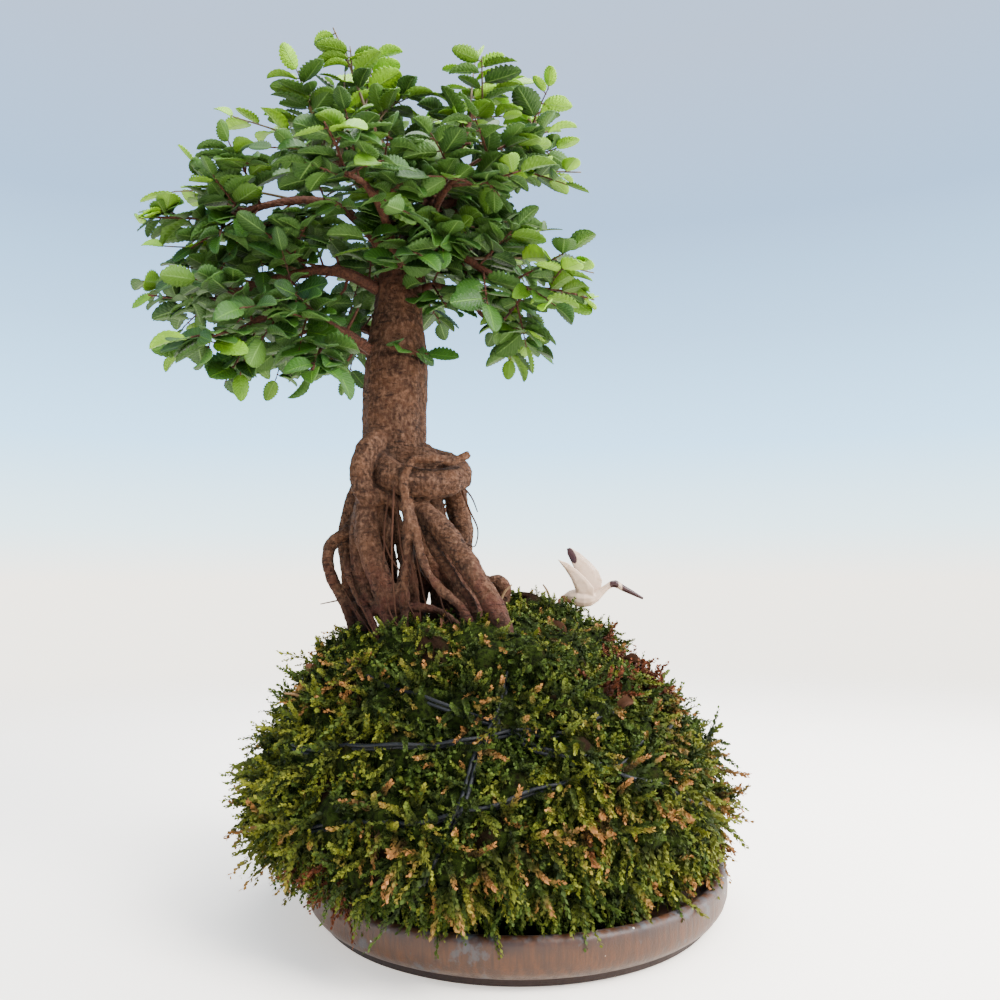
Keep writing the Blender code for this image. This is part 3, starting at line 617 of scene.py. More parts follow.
peat = Finish("matted_moss", Roughness=0.95, Specular_IOR_Level=0.05)
tufts = peat.clouds(1.6, 5, rough=0.7)
matted = peat.mix(tufts.between(0.35, 0.65), srgb(10, 12, 2), srgb(34, 44, 9))
matted = peat.mix(peat.clouds(12, 3).between(0.55, 0.68), matted, srgb(28, 16, 8))
peat.colour(matted)
peat.relief(tufts, 1.5)
base_mesh = mesh_from("moss_base", bm)
moss_base = add_object("moss_base", base_mesh, peat)
belongs(moss_base, "moss", "moss_cover")


class Stock:
    """A small shape made once with bmesh, ready to be copied many times into one mesh."""

    def __init__(self, bm, along):
        bm.verts.index_update()
        self.places = np.array([vert.co for vert in bm.verts])
        self.corners = np.array([[vert.index for vert in face.verts] for face in bm.faces])
        self.along = np.array([along(vert.co) for vert in bm.verts])
        bm.free()


def copied_mesh(name, orders, with_uv=False):
    """One mesh of every copy; an order is a Stock, its 4x4 matrices and its two tones."""
    places = []
    corners = []
    paints = []
    flats = []
    offset = 0
    for stock, matrices, tones in orders:
        count = len(matrices)
        turned = np.einsum("nij,vj->nvi", matrices[:, :3, :3], stock.places)
        places.append((turned + matrices[:, None, :3, 3]).reshape(-1, 3))
        base = np.arange(count) * len(stock.places) + offset
        corners.append((stock.corners[None] + base[:, None, None]).reshape(-1, stock.corners.shape[1]))
        paint = np.ones((count, len(stock.places), 4))
        paint[:, :, 0] = stock.along[None]
        paint[:, :, 1:3] = tones[:, None, :]
        paints.append(paint.reshape(-1, 4))
        if with_uv:
            flats.append(np.tile(stock.flat, (count, 1)))
        offset += count * len(stock.places)
    corners = np.concatenate(corners)
    mesh = bpy.data.meshes.new(name)
    mesh.vertices.add(offset)
    mesh.vertices.foreach_set("co", np.concatenate(places).ravel())
    mesh.loops.add(corners.size)
    mesh.loops.foreach_set("vertex_index", corners.ravel())
    mesh.polygons.add(len(corners))
    mesh.polygons.foreach_set("loop_start", np.arange(len(corners)) * corners.shape[1])
    mesh.update(calc_edges=True)
    layer = mesh.attributes.new("paint", "FLOAT_COLOR", "POINT")
    layer.data.foreach_set("color", np.concatenate(paints).ravel())
    if with_uv:
        uv = mesh.uv_layers.new(name="leaf")
        uv.data.foreach_set("uv", np.concatenate(flats)[corners.ravel()].ravel())
    mesh.validate()
    return mesh


STEM = 0.022                    # half the width of a shoot's stem, as a share of its length


def moss_stock(dice, bend, reach, branches):
    """A shoot one unit long: a bent stem, side branches, and small leaves all along them."""
    bm = bmesh.new()

    def curve(root, ahead, length, sag):
        spots = []
        for step in range(7):
            t = step / 6
            bent = Vector((sag * t * t, 0, -0.25 * abs(sag) * t * t))
            spots.append(root + ahead * (length * t) + bent)
        return spots

    def clothe(spots, count, reach, first):
        for near, far in zip(spots[::2], spots[2::2]):
            side = (far - near).orthogonal().normalized() * STEM
            other = (far - near).cross(side).normalized() * STEM
            corners = [bm.verts.new(near + side), bm.verts.new(near - side),
                       bm.verts.new(far + other), bm.verts.new(far - other)]
            bm.faces.new((corners[0], corners[1], corners[2]))
            bm.faces.new((corners[1], corners[0], corners[3]))
        for k in range(count):
            t = first + (1.0 - first) * k / (count - 1)
            place = t * 6
            low = min(5, int(place))
            root = spots[low].lerp(spots[low + 1], place - low)
            ahead = (spots[low + 1] - spots[low]).normalized()
            turn = 2.4 * k + dice.uniform(-0.3, 0.3)
            first_side = ahead.orthogonal().normalized()
            out = first_side * math.cos(turn) + ahead.cross(first_side) * math.sin(turn)
            side = ahead.cross(out)
            size = reach * (1.0 - 0.45 * t) * dice.uniform(0.85, 1.15)
            tip = root + (out * 0.62 + ahead * dice.uniform(0.8, 1.1)).normalized() * size
            middle = root.lerp(tip, 0.5) + out * (0.10 * size)
            corners = [bm.verts.new(root), bm.verts.new(middle + side * (0.40 * size)),
                       bm.verts.new(tip), bm.verts.new(middle - side * (0.40 * size))]
            bm.faces.new((corners[0], corners[1], corners[2]))
            bm.faces.new((corners[0], corners[2], corners[3]))

    stem = curve(Vector(), UP, 1.0, bend)
    clothe(stem, 28 if not branches else 18, reach, 0.10)
    for k in range(branches):
        turn = math.pi * k + dice.uniform(-0.5, 0.5)
        ahead = Vector((math.cos(turn) * 0.75, math.sin(turn) * 0.75, 0.8)).normalized()
        root = stem[1 + k % 5]
        clothe(curve(root, ahead, dice.uniform(0.26, 0.42), 0.06), 7, reach * 0.75, 0.2)
    return Stock(bm, lambda spot: clamped(spot.z))


# how far a shoot bends, how long its leaves are, and how many side branches it has
MOSS_FORMS = ((0.10, 0.22, 0), (0.35, 0.20, 0), (0.60, 0.19, 0), (-0.20, 0.22, 0),
              (0.25, 0.19, 3), (0.45, 0.18, 2), (0.10, 0.19, 2), (0.80, 0.17, 0))
MOSS_STOCKS = [moss_stock(moss_dice, *form) for form in MOSS_FORMS]


def surface_samples(mesh, count, dice):
    """Random points on a mesh, evenly by area, each with its face's normal."""
    mesh.calc_loop_triangles()
    # sorted by place, because the order of a sphere's faces isn't the same on every run
    faces = sorted((sorted(mesh.vertices[i].co.to_tuple(7) for i in face.vertices), face.area,
                    face.normal.copy()) for face in mesh.loop_triangles)
    areas = np.cumsum([area for _, area, _ in faces])
    chosen = np.searchsorted(areas, [dice.random() * areas[-1] for _ in range(count)])
    for index in chosen:
        corners, _, normal = faces[int(index)]
        a, b, c = (Vector(corner) for corner in corners)
        first, second = dice.random(), dice.random()
        if first + second > 1:
            first, second = 1 - first, 1 - second
        yield a + (b - a) * first + (c - a) * second, normal


def frame_along(place, ahead, facing, size, width):
    """A matrix that lays a shape's Z along ahead and leans its X towards facing."""
    side = (facing - ahead * facing.dot(ahead)).normalized()
    other = ahead.cross(side)
    turned = Matrix((side * width, other * width, ahead * size)).transposed().to_4x4()
    turned.translation = place
    return turned


# Windings that the moss leaves partly bare: the cord's name and the x range, in millimetres.
BARE_CORDS = {"tie_cord_1": (-46, -2), "tie_cord_2": (-4, 20), "tie_cord_3": (-14, -6),
              "tie_cord_4": (-30, -20)}
ONE_RUN = 11 * MM               # points of a packed cord closer than this have cord between them
bare_spots = [vert.co.copy() for name, (left, right) in BARE_CORDS.items()
              for vert in packed[name].data.vertices
              if left < vert.co.x / MM < right]
between = [place.lerp(after, 0.5) for place, after in zip(bare_spots, bare_spots[1:] + bare_spots[:1])
           if (after - place).length < ONE_RUN]
bare_cord = place_tree(bare_spots + between)

SHOOTS = 13800
ROOM = 8.5                      # millimetres that a hanging shoot stays above the floor,
LEAST_ROOM = 3.0                # and for the few that hang lowest
# patches of shoots that are scorched rusty: the middle and the reach
SCORCHED = ((Vector((42, -18, 86)), 15), (Vector((-52, -52, 26)), 9), (Vector((30, -40, 78)), 7))
orders = {number: ([], []) for number in range(len(MOSS_STOCKS))}
for index, (place, normal) in enumerate(surface_samples(base_mesh, SHOOTS, moss_dice)):
    dice = random.Random(index)     # each shoot has its own, so that no shoot changes the next
    spot = place / MM
    x, _, z = spot
    if z < 10 or (z < 15 and dice.random() < 0.5):
        continue
    gap = wood_tree.find_nearest(place)[3] / MM
    if gap < 1.0:
        continue
    if bare_cord.find(place)[2] < (2.5 if x < -2 and z > 48 else 1.6) * MM:
        continue
    heart, _, off = tussock_tree.find(place)
    off = min(1.0, off / (1.6 * TUSSOCK * MM))
    tuft = noise.noise(spot * 0.09)
    side_way = 1 - smooth_step(0.30, 0.85, normal.z)
    low_down = 1 - smooth_step(22, 60, z)
    left = smooth_step(-35, -85, x)
    wild = any_way(dice)
    spread = (place - heart) / (TUSSOCK * MM)
    spread -= normal * spread.dot(normal)
    droop = side_way * (0.25 + 0.65 * low_down) * (1 - 0.55 * left)
    ahead = (normal + wild * 0.85 + spread * 0.70 - UP * droop).normalized()
    size = dice.uniform(6.0, 10.6) * (1.28 - 0.50 * off) * (1 + 0.3 * tuft)
    size *= 1 + 0.26 * side_way + 0.12 * low_down * side_way
    if z > 80:
        size *= 0.68
    if gap < 9:
        size *= 0.60 + 0.045 * gap
    width = dice.uniform(9.0, 12.5) * (0.8 if z > 80 else 1.0)
    hang = 0.75 * width * side_way - min(0.0, ahead.z) * size
    spare = z - (LEAST_ROOM if dice.random() < 0.12 else ROOM)
    if hang > spare:
        size *= max(0.35, spare / hang)
        width *= max(0.35, spare / hang)
    dry = 0.60 * noise.noise(spot * 0.06 + Vector((30, 0, 0))) + dice.uniform(0.0, 0.50)
    dry += 0.12 * smooth_step(0, 60, x) - 0.12 * left + 0.08 * low_down
    for middle, reach in SCORCHED:
        if (spot - middle).length < reach and dice.random() < 0.7:
            dry = 1.1
    tone = 0.40 + 0.35 * noise.noise(spot * 0.035 + Vector((0, 50, 0)))
    tone += dice.uniform(-0.3, 0.3) + 0.25 * left
    number = dice.randrange(len(MOSS_STOCKS))
    root = place - normal * (1.0 * MM)
    facing = (-UP if side_way > 0.3 else wild) + wild * 0.5
    matrices, tones = orders[number]
    matrices.append(frame_along(root, ahead, facing, size * MM, width * MM))
    tones.append((clamped(tone), clamped(dry)))

green = Finish("feather_moss", Roughness=0.7, Specular_IOR_Level=0.15)
along, tone, dry = green.paint()
leafy = green.mix(along, srgb(7, 11, 1), srgb(52, 66, 13))
bright = green.mix(along, srgb(18, 24, 3), srgb(118, 118, 30))
leafy = green.mix(tone.between(0.30, 0.95), leafy, bright)
straw = green.mix(along.between(0.35, 0.95), srgb(54, 38, 14), srgb(128, 84, 42))
rust = green.mix(along, srgb(30, 12, 6), srgb(92, 46, 22))
leafy = green.mix(dry.between(0.40, 0.60) * along.between(0.55, 0.95), leafy, straw)
leafy = green.mix(dry.between(0.62, 0.78) * 0.8, leafy, straw)
leafy = green.mix(dry.between(0.84, 1.0), leafy, rust)
green.colour(leafy)
for number, (matrices, tones) in orders.items():
    mesh = copied_mesh(f"moss_shoots_{number + 1}",
                       [(MOSS_STOCKS[number], np.array(matrices), np.array(tones))])
    belongs(add_object(f"moss_shoots_{number + 1}", mesh, green), "moss")


# ------------------------------------------------------------------ dry bits
# Dead grass stalks and a dozen small curled brown leaves, which have fallen on the moss and
# lie caught among its shoots.

STALKS = (((-8, -8, 97), (-5.5, -8, 101), (-3.5, -8, 105), (-1.0, -8, 107.5)),
          ((14, 6, 97), (13.4, 6, 101), (12.2, 6, 105), (10.6, 6, 107.5)),
          ((-66, -30, 70), (-70, -33, 73), (-73, -36, 74)))
dry_stalk = Finish("dry_stalk", Roughness=0.8)
dry_stalk.colour(dry_stalk.mix(dry_stalk.clouds(3), srgb(60, 36, 18), srgb(128, 96, 54)))
stalks = [smooth_route(points, 1.0, 0.9, 0.3) for points in STALKS]
belongs(add_object("dry_stalks", rods("dry_stalks", stalks), dry_stalk), "moss")

base_tree = mesh_tree(base_mesh)
# each leaf's place from above, its length and its turn
LITTER = ((17, 2, 5, 0.4), (36, -20, 6, 2.1), (44, -14, 5, 4.0), (40, -30, 6, 5.2), (-24, -34, 4, 1.2),
          (14, -30, 6, 3.3), (-66, -22, 5, 0.9), (54, 4, 6, 2.8), (22, 30, 6, 4.4), (-48, 34, 6, 1.7),
          (-10, 44, 5, 5.6), (32, -40, 6, 0.2))
bm = bmesh.new()
for x, y, size, turn in LITTER:
    ground, upright, _, _ = base_tree.ray_cast(Vector((x, y, 200)) * MM, -UP)
    ahead = (Vector((math.cos(turn), math.sin(turn), 0.3)) + upright * 0.4).normalized()
    lying = frame_along(ground + upright * (2.4 * MM), ahead, upright, size * MM, size * MM)
    rows = []
    for step in range(9):
        t = step / 8
        half = 0.34 * math.sin(math.pi * (0.06 + 0.90 * t)) ** 0.8
        curl = 0.25 * math.sin(3 * t + turn)
        row = []
        for across in (-1, -0.5, 0, 0.5, 1):
            spot = Vector((1.6 * across * across * half + curl, across * half, t - 0.3))
            row.append(bm.verts.new(lying @ spot))
        rows.append(row)
    for near, far in zip(rows, rows[1:]):
        for k in range(4):
            bm.faces.new((near[k], near[k + 1], far[k + 1], far[k]))
dead_leaf = Finish("dead_leaf", Roughness=0.8, Specular_IOR_Level=0.15)
dead_leaf.colour(dead_leaf.mix(dead_leaf.clouds(4), srgb(34, 15, 8), srgb(82, 50, 28)))
belongs(add_object("fallen_leaves", mesh_from("fallen_leaves", bm), dead_leaf), "moss")


# ------------------------------------------------------------------ tie cord
# Four windings of thin black twisted cord hold the moss on; each is rebuilt round its own
# packed loop and lies in the moss, two strands side by side with the twist's ribs along them.

cord_black = Finish("black_cord", Roughness=0.6, Specular_IOR_Level=0.3)
cord_black.colour(cord_black.mix(cord_black.clouds(2), srgb(4, 4, 5), srgb(12, 12, 14)))
cord_black.relief(cord_black.clouds(0.4, 3), 0.15)
STRAND_R = 0.62
STRAND_OFF = 0.66 * MM          # from the cord's middle to a strand's
RIB = 1.1 * MM
# millimetres that the cord lies above the moss's base: where it is bare, and under the shoots
BARE_LIFT = {"tie_cord_1": 1.4, "tie_cord_2": 0.3, "tie_cord_3": 0.3, "tie_cord_4": 0.3}
SUNK_LIFT = -0.5
for node in [name for name in sorted(packed) if name.startswith("tie_cord")]:
    spots = np.array([vert.co for vert in packed[node].data.vertices])
    middle = spots.mean(0)
    _, _, axes = np.linalg.svd(spots - middle)
    flat = (spots - middle) @ axes.T
    turns = np.arctan2(flat[:, 1], flat[:, 0])
    order = np.argsort(turns)
    turns, flat = turns[order], flat[order]
    loop = []
    for turn in np.linspace(-math.pi, math.pi, 120, endpoint=False):
        gaps = np.abs((turns - turn + math.pi) % (2 * math.pi) - math.pi)
        weights = np.exp(-(gaps / 0.05) ** 2) + 1e-9
        radius = (np.hypot(flat[:, 0], flat[:, 1]) * weights).sum() / weights.sum()
        rise = (flat[:, 2] * weights).sum() / weights.sum()
        spot = Vector(middle + radius * math.cos(turn) * axes[0]
                      + radius * math.sin(turn) * axes[1] + rise * axes[2])
        ground, upright, _, _ = base_tree.find_nearest(spot)
        bare = bare_cord.find(spot)[2] < 4 * MM
        lift = BARE_LIFT[node] if bare else SUNK_LIFT
        loop.append(ground + upright * (lift * MM))
    for _ in range(3):
        loop = [(before + here * 2 + after) / 4
                for before, here, after in zip(loop[-1:] + loop[:-1], loop, loop[1:] + loop[:1])]
    centre = sum(loop, Vector()) / len(loop)
    strands = ([], [])
    length = 0.0
    for a, b in zip(loop, loop[1:] + loop[:1]):
        ahead = (b - a).normalized()
        outward = (a - centre).normalized()
        beside = ahead.cross(outward).normalized()
        steps = max(1, round((b - a).length / (RIB / 3)))
        for step in range(steps):
            run = length + (b - a).length * step / steps
            turn = 0.55 * math.sin(run / (17 * MM)) + 0.2
            apart = beside * math.cos(turn) + outward * math.sin(turn)
            rib = 0.07 * math.cos(2 * math.pi * run / RIB)
            for strand, way in zip(strands, (1, -1)):
                spot = a.lerp(b, step / steps) + apart * (way * STRAND_OFF)
                strand.append((spot, (STRAND_R + rib) * MM))
        length += (b - a).length
    mesh = rods(node.replace("tie_cord", "cord_winding"), strands, 1, closed=True)
    belongs(add_object(mesh.name, mesh, cord_black), "black_cord", node)


# ------------------------------------------------------------------ limbs
# The crown's limbs, slim brown wood that grows out of the trunk's head. Each is its packed
# limb with uneven bark, and all but the stub have a few ends of pruned twigs along them.

young_bark = Finish("twig_bark", Roughness=0.75, Specular_IOR_Level=0.15)
grain = young_bark.clouds(0.8, 4, rough=0.65)
rind = young_bark.mix(grain.between(0.35, 0.65), srgb(44, 24, 16), srgb(78, 48, 34))
rind = young_bark.mix(young_bark.clouds(5, 3).between(0.5, 0.65) * 0.6, rind, srgb(60, 28, 18))
young_bark.colour(rind)
young_bark.relief(grain, 0.25)
LIMBS = [name for name in sorted(packed) if name.startswith("limb")]


def limb_swell(place, normal):
    return (0.12 + 0.28 * noise.noise(place * 0.45) + 0.14 * noise.noise(place * 1.3)
            + 0.22 * noise.noise(Vector((7, 7, 7)) + place * 0.2))


limb_dice = random.Random(5)
limb_trees = {}
mesh_of = {}
for node in LIMBS:
    mesh = remeshed(node.replace("limb", "bough"), merged_copy(node), 0.36 * MM, 4)
    push(mesh, limb_swell)
    spots = [vert.co.copy() for vert in mesh.vertices]
    stubs = []
    for _ in range(0 if "stub" in node else 5):
        index = limb_dice.randrange(len(spots))
        out = (mesh.vertices[index].normal + UP * 0.4 + any_way(limb_dice, 0.5)).normalized()
        start = spots[index] - mesh.vertices[index].normal * (0.4 * MM)
        reach = limb_dice.uniform(3, 9)
        end = start + out * (reach * MM)
        bent = start.lerp(end, 0.5) + any_way(limb_dice, 0.6) * MM
        stubs.append(smooth_route([start / MM, bent / MM, end / MM], 1.0, 0.62, 0.45))
    bm = bmesh.new()
    bm.from_mesh(mesh)
    if stubs:
        bm.from_mesh(rods("stubs", stubs))
    mesh_of[node] = mesh
    limb_trees[node] = BVHTree.FromBMesh(bm)
    bm.to_mesh(mesh)
    bm.free()
    mesh.shade_smooth()
    belongs(add_object(mesh.name, mesh, young_bark), "twig_bark", node)


# ------------------------------------------------------------------ leafy shoots
# Twigs with alternate elm leaves: a toothed oval blade, folded a little along its midrib,
# dark above and paler below, and bright yellow-green where it is young.

def leaf_stock(wide, fold, curl, teeth):
    """A leaf one unit long along Y, with its face up and toothed edges."""
    bm = bmesh.new()
    bmesh.ops.create_grid(bm, x_segments=2, y_segments=24, size=0.5)
    flats = []
    for vert in bm.verts:
        across, along = vert.co.x * 2, vert.co.y + 0.5
        bow = math.sin(math.pi * along ** 0.94) ** 0.54 * (1 - 0.10 * along)
        tooth = 0.90 + 0.19 * abs(math.sin(math.pi * teeth * along)) ** 0.7
        half = wide / 2 * max(0.0, bow) * (tooth if abs(across) > 0.9 else 1.0)
        ripple = 0.012 * math.cos(2 * math.pi * teeth * (along - 0.3 * abs(across))) * abs(across)
        flats.append(((across + 1) / 2, along))
        vert.co = Vector((across * half, along,
                          fold * abs(across) * half - curl * (along - 0.35) ** 2 + ripple))
    stock = Stock(bm, lambda spot: spot.y)
    stock.flat = np.array(flats)
    return stock


# a leaf's width, fold along the midrib, curl and number of teeth on each side
LEAF_FORMS = ((0.64, 0.28, 0.14, 8), (0.58, 0.45, 0.22, 7), (0.70, 0.15, 0.10, 9),
              (0.62, 0.35, -0.10, 8), (0.54, 0.60, 0.30, 7))
LEAF_STOCKS = [leaf_stock(*form) for form in LEAF_FORMS]


def leaf_finish(name, dark, mid, young, vein, veined, gloss):
    made = Finish(name, Roughness=gloss, Specular_IOR_Level=0.22)
    _, age, shade = made.paint()
    flat = made.node("ShaderNodeUVMap", {"uv_map": "leaf"})
    across = abs(made.node("ShaderNodeSeparateXYZ", output=0, Vector=flat) * 2 - 1)
    along = made.node("ShaderNodeSeparateXYZ", output=1, Vector=flat)
    midrib = across.between(0.10, 0.03)
    saw = abs(((along - across * 0.30) * 9).fraction() * 2 - 1)
    sides = saw.between(0.80, 0.97) * across.between(0.98, 0.7)
    veins = midrib + sides * 0.55
    tint = made.mix(shade, dark, mid)
    tint = made.mix(age.between(0.45, 0.95), tint, young)
    tint = made.mix(made.clouds(4, 2).between(0.35, 0.7) * 0.35, tint, mid)
    made.colour(made.mix(veins * veined, tint, vein))
    made.relief(saw.between(0.4, 1.0) * 0.5 + midrib, 0.30, 0.6)
    return made


leaf_top = leaf_finish("leaf_top", srgb(14, 38, 6), srgb(40, 74, 12), srgb(122, 172, 10),
                       srgb(96, 140, 36), 0.32, 0.5)
leaf_under = leaf_finish("leaf_under", srgb(28, 54, 14), srgb(52, 82, 24), srgb(120, 166, 20),
                         srgb(100, 132, 62), 0.5, 0.6)
green_twig = Finish("green_twig", Roughness=0.6)
green_twig.colour(green_twig.mix(green_twig.clouds(6), srgb(60, 36, 20), srgb(82, 68, 26)))

CROWN = Vector((-52, 0, 236)) * MM
LEAF = 12.6 * MM
LEAF_REACH = 13 * MM            # leaves whose middles are further apart aren't tested
TRIES = 12                      # to find a leaf a place clear of its neighbours
# the crown's limits in metres; the sides and the heights are from CROWN_AXIS, and at y 0
CROWN_AXIS = (-0.005, 0.109)
CROWN_DEPTHS = (-0.080, 0.084)
CROWN_SIDES = (-0.137, 0.037)
CROWN_HEIGHTS = (0.066, 0.207)
CROWN_POINT = 0.3               # how far in front of the tree the outline would close to a point
wood_spots = place_tree([vert.co.copy() for name in LIMBS for vert in packed[name].data.vertices])
taken = [(None, tree) for tree in limb_trees.values()] + [(None, wood_tree)]


def twig_between(start, end, sag, radius):
    """A twig with a soft bend, as (place, radius) points."""
    middle = start.lerp(end, 0.5) + UP * sag
    return smooth_route([start / MM, middle / MM, end / MM], 2.0, radius, radius * 0.45)


def leaf_probe(matrix):
    """A flat diamond where the leaf would lie, to test it against its neighbours."""
    diamond = ((0, 0.12, 0), (0.24, 0.5, 0), (0, 1, 0), (-0.24, 0.5, 0))
    return BVHTree.FromPolygons([matrix @ Vector(spot) for spot in diamond], [(0, 1, 2), (0, 2, 3)])


def in_crown(place):
    """Whether a place is inside the crown's outline, which draws in towards the front."""
    near = 1 + place.y / CROWN_POINT
    side = place.x - CROWN_AXIS[0]
    rise = place.z - CROWN_AXIS[1]
    return (CROWN_DEPTHS[0] < place.y < CROWN_DEPTHS[1]
            and CROWN_SIDES[0] * near < side < CROWN_SIDES[1] * near
            and CROWN_HEIGHTS[0] * near < rise < CROWN_HEIGHTS[1] * near)


def grow_leaves(twig, count, seed, orders, own, fresh):
    """Alternate leaves from the tip of a twig back along it, with their stalks in own."""
    last = len(twig) - 1
    for k in range(count):
        dice = random.Random(f"{seed} leaf {k}")
        share = 1.0 if k == 0 else 1.0 - 0.86 * k / count
        spot = twig[round(last * share)][0]
        before = twig[max(0, round(last * share) - 1)][0]
        after = twig[min(last, round(last * share) + 1)][0]
        ahead = (after - before).normalized()
        for attempt in range(TRIES):
            level = ahead.cross(UP).normalized()
            side = level * (0.0 if k == 0 else (1.0 if k % 2 else -1.0))
            wild = any_way(dice)
            onward = (ahead * (1.0 if k == 0 else 0.55) + side + wild * (0.30 + 0.03 * attempt)
                      - UP * 0.12).normalized()
            facing = (UP + any_way(dice, 0.75) + (spot - CROWN).normalized() * 0.35).normalized()
            if abs(facing.dot(onward)) > 0.85:
                continue
            across = onward.cross(facing).normalized()
            face = across.cross(onward)
            length = LEAF * dice.uniform(0.68, 1.18) * (1.10 - 0.25 * share) * (1.1 if fresh else 1.0)
            matrix = Matrix((across * length, onward * length, face * length)).transposed().to_4x4()
            matrix.translation = spot + onward * (1.2 * MM)
            middle = matrix @ Vector((0, 0.5, 0))
            if not in_crown(matrix @ Vector((0, 1, 0))):
                continue
            probe = leaf_probe(matrix)
            if any((near is None or (near - middle).length < LEAF_REACH) and probe.overlap(tree)
                   for near, tree in taken):
                continue
            taken.append((middle, probe))
            outer = smooth_step(0.045, 0.095, (spot - CROWN).length)
            youth = dice.uniform(0, 0.60) + 0.60 * outer * (1.0 if k < 3 else 0.30)
            if fresh:
                youth = dice.uniform(0.75, 1.0)
            if spot.z > 0.280:
                youth += 0.22
            if spot.z < 0.228 and spot.x < -0.02:
                youth -= 0.30
            orders[dice.randrange(len(LEAF_STOCKS))].append(
                (matrix, (min(1.0, youth), dice.random())))
            own.append([(spot - onward * (0.3 * MM), 0.28 * MM), (spot + onward * (1.6 * MM), 0.20 * MM)])
            break


def grow_shoot(name, twigs, replaced=()):
    """The leaf blades and the twigs of one shoot, as two objects."""
    orders = [[] for _ in LEAF_STOCKS]
    stalks = [twig for twig, _ in twigs]
    for number, (twig, count) in enumerate(twigs):
        grow_leaves(twig, count, f"{name} {number}", orders, stalks, "young" in name)
    if not any(orders):
        return
    kept = [(LEAF_STOCKS[i], np.array([m for m, _ in order]), np.array([t for _, t in order]))
            for i, order in enumerate(orders) if order]
    mesh = copied_mesh(f"leaf_blades_{name}", kept, with_uv=True)
    mesh.shade_smooth()
    blades = add_object(mesh.name, mesh, leaf_top, leaf_under)
    shell = blades.modifiers.new("blade", "SOLIDIFY")
    shell.thickness = 0.22 * MM
    shell.offset = -1.0
    shell.material_offset = 1
    shell.material_offset_rim = 1
    belongs(blades, "elm_leaf", *replaced)
    mesh = rods(f"twigs_{name}", stalks, 1)
    belongs(add_object(mesh.name, mesh, green_twig if "top" in name else young_bark), "twig_bark")


sag_dice = random.Random(23)
for node in [name for name in sorted(packed) if name.startswith("leaves")]:
    spots = [vert.co.copy() for vert in packed[node].data.vertices]
    root = min(spots, key=lambda spot: wood_spots.find(spot)[2])
    start = wood_spots.find(root)[0]
    end = max(spots, key=lambda spot: (spot - start).length)
    axis = (end - start).normalized()
    wing = max(spots, key=lambda spot: (spot - start - axis * (spot - start).dot(axis)).length)
    other = min(spots, key=lambda spot: (spot - start).cross(axis).dot((wing - start).cross(axis)))
    tip = start + axis * ((end - start).length * 0.80)
    main = twig_between(start, tip, sag_dice.uniform(-1.5, 2.0) * MM, 0.62)
    twigs = [(main, 9)]
    for share, towards, size, count in ((0.30, wing, 0.45, 6), (0.45, other, 0.40, 6)):
        fork = main[round(len(main) * share)][0]
        twigs.append((twig_between(fork, fork.lerp(towards, 0.70), 0.8 * MM, size), count))
    grow_shoot(node.removeprefix("leaves_"), twigs, [node])

# long bright shoots of this year's growth stand out of the crown's edge: from, to and leaves
YOUNG_SHOOTS = (((-70, -2, 262), (-104, -6, 282), 7), ((-80, -4, 250), (-126, -4, 254), 5),
                ((-62, 2, 285), (-52, -2, 311), 6), ((-30, 2, 285), (-14, -2, 306), 6),
                ((-10, 0, 262), (26, -2, 262), 6), ((-8, -2, 232), (30, -4, 222), 7),
                ((-84, -6, 232), (-128, -6, 232), 5))
for number, (root, end, count) in enumerate(YOUNG_SHOOTS):
    start = wood_spots.find(Vector(root) * MM)[0]
    twig = twig_between(start, Vector(end) * MM, 2.5 * MM, 0.55)
    grow_shoot(f"top_young_{number + 1}", [(twig, count)])

# shorter leafy twigs fill the crown between the shoots, out of every limb but the stub and out of the
# trunk's head
FRONT_TWIGS = 4.6 * MM          # millimetres of limb to each twig, in the front of the crown
OTHER_TWIGS = 6.2 * MM          # and elsewhere
bearers = [(name, mesh_of[name], 0.186) for name in LIMBS if "stub" not in name]
for name, mesh, lowest in bearers + [("head", wood_mesh, 0.214)]:
    roots = [vert for vert in mesh.vertices if vert.co.z > lowest]
    places = np.array([vert.co for vert in roots])
    reach = np.linalg.norm(places.max(0) - places.min(0))
    twigs = []
    front = places[:, 1].mean() < -0.004
    for number in range(round(reach / (FRONT_TWIGS if front else OTHER_TWIGS))):
        dice = random.Random(f"{name} {number}")
        vert = roots[int(dice.random() * len(roots))]
        out = vert.co - CROWN
        out.z *= 0.6
        wild = any_way(dice)
        ahead = (vert.normal * 0.9 + out.normalized() * 0.7 + wild * 0.5 + UP * 0.1).normalized()
        start = vert.co - vert.normal * (0.5 * MM)
        end = start + ahead * (dice.uniform(13, 27) * MM)
        sag = dice.uniform(-1, 2) * MM
        if in_crown(end) and (end.x < -0.018 or dice.random() < 0.55):
            twigs.append((twig_between(start, end, sag, 0.45), 7))
    grow_shoot(f"inner_{name}", twigs)


# ------------------------------------------------------------------ crane figurine
# A tiny cast metal crane with raised wings, painted cream, with a dark cheek, beak, tail and
# wing tip. Its two dark wire legs pin it in the moss.

CRANE_FEET = Vector((25, 8, 96)) * MM
WING_EDGE = 0.30                # half a wing's thickness at its edge, in millimetres


def crane_place(x, y, z):
    return CRANE_FEET + Vector((x, y, z)) * MM


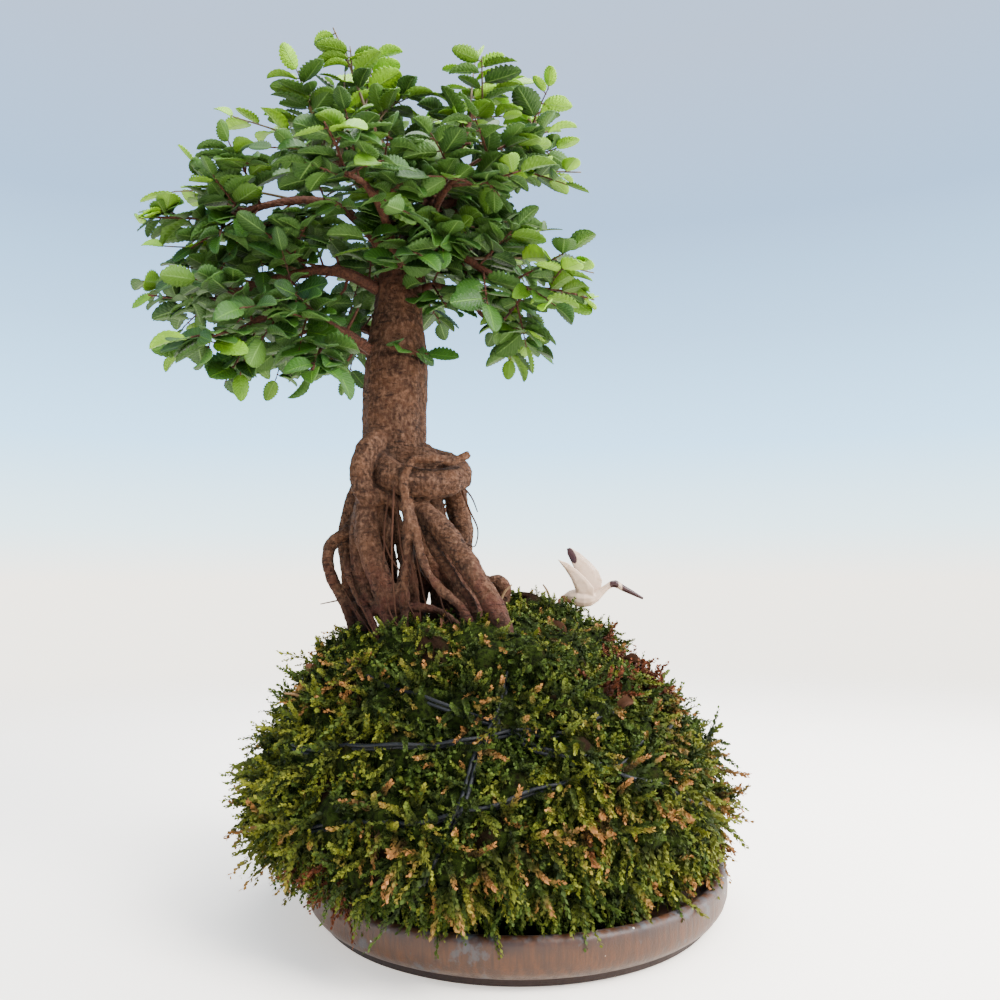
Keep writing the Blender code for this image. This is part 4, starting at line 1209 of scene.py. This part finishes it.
def crane_wing(bm, outline, root, lean, thick):
    """A tapering feather-shaped wing, thin at its edge and thicker in its middle, leaning out from the
    body.
    """
    middle = Vector((sum(x for x, _ in outline), sum(z for _, z in outline))) / len(outline)
    near = []
    far = []
    inner = []
    for x, z in outline:
        y = root + lean * (z - 6)
        near.append(bm.verts.new(crane_place(x, y - WING_EDGE, z)))
        far.append(bm.verts.new(crane_place(x, y + WING_EDGE, z)))
        inner.append((middle.x + (x - middle.x) * 0.6, middle.y + (z - middle.y) * 0.6))
    for ring, way in ((near, -1), (far, 1)):
        swelled = [bm.verts.new(crane_place(x, root + lean * (z - 6) + way * thick, z))
                   for x, z in inner]
        for i in range(len(ring)):
            after = (i + 1) % len(ring)
            bm.faces.new((ring[i], ring[after], swelled[after], swelled[i]))
        bm.faces.new(swelled)
    for i in range(len(near)):
        after = (i + 1) % len(near)
        bm.faces.new((near[i], near[after], far[after], far[i]))


# the crane from its tail to the tip of its beak: x, height and radius
CRANE_LINE = ((-7.4, 6.6, 0.5), (-6.2, 6.8, 1.1), (-4.6, 7.1, 2.1), (-2.2, 6.7, 3.3), (0.6, 6.3, 3.5),
              (3.2, 6.3, 2.9), (5.2, 7.0, 2.1), (7.2, 8.6, 1.5), (9.4, 10.4, 1.15), (11.2, 11.5, 1.3),
              (12.6, 11.6, 1.45), (13.9, 10.9, 1.25), (15.0, 10.2, 1.18), (18.5, 8.4, 0.95),
              (22.8, 6.1, 0.48))
# the wings' outlines: x and height
REAR_WING = ((-4.8, 25.0), (-4.6, 22.8), (-2.8, 18.8), (-0.4, 13.6), (1.2, 7.6), (4.8, 6.8), (7.6, 9.8),
             (8.2, 12.8), (6.9, 16.4), (3.8, 20.0), (0.2, 23.2), (-3.4, 25.4))
FRONT_WING = ((-9.2, 20.6), (-6.4, 17.0), (-4.2, 13.6), (-2.8, 10.2), (-1.2, 6.8), (1.8, 5.4), (4.4, 7.2),
              (4.2, 10.2), (1.6, 13.4), (-1.8, 16.6), (-5.2, 19.2))
bm = bmesh.new()
line = [(crane_place(x, 0, z), radius * MM) for x, z, radius in CRANE_LINE]
bm.from_mesh(rods("crane_line", [line], 4))
crane_wing(bm, REAR_WING, 1.8, 0.26, 0.7)
crane_wing(bm, FRONT_WING, -1.8, -0.26, 0.8)
crane_mesh = remeshed("crane", bm, 0.20 * MM, 7)
layer = crane_mesh.attributes.new("paint", "FLOAT_COLOR", "POINT")
for vert in crane_mesh.vertices:
    x, y, z = (vert.co - CRANE_FEET) / MM
    brown = smooth_step(14.7, 15.1, x)
    cheek = smooth_step(1.85, 1.55, ((x - 12.0) ** 2 + (z - 11.9 + 0.5 * abs(y)) ** 2) ** 0.5)
    from_tip = ((x + 3.1) / 1.7 + (z - 22.6) / 5.0) ** 2 + ((z - 22.4) / 3.3) ** 2
    tip = smooth_step(1.0, 0.8, from_tip) if y > 0 else 0.0
    tail = smooth_step(-6.6, -7.0, x) if z < 9 else 0.0
    layer.data[vert.index].color = (max(brown, cheek, tip, tail), 0, 0, 1)
white = Finish("crane_paint", Roughness=0.4, Coat_Weight=0.1, Specular_IOR_Level=0.2)
cream = white.mix(white.clouds(3).between(0.45, 0.7), srgb(182, 152, 128), srgb(168, 138, 112))
white.colour(white.mix(white.paint()[0], cream, srgb(46, 22, 20)))
belongs(add_object("crane_figure", crane_mesh, white), "crane_white", "crane_body")
wire = Finish("crane_wire", Roughness=0.4)
wire.colour(wire.mix(wire.clouds(2), srgb(16, 12, 11), srgb(34, 26, 22)))
for node in ("crane_leg_front", "crane_leg_rear"):
    mesh = remeshed(node.replace("leg", "wire_leg"), merged_copy(node), 0.2 * MM, 2)
    belongs(add_object(mesh.name, mesh, wire), "crane_black", node)
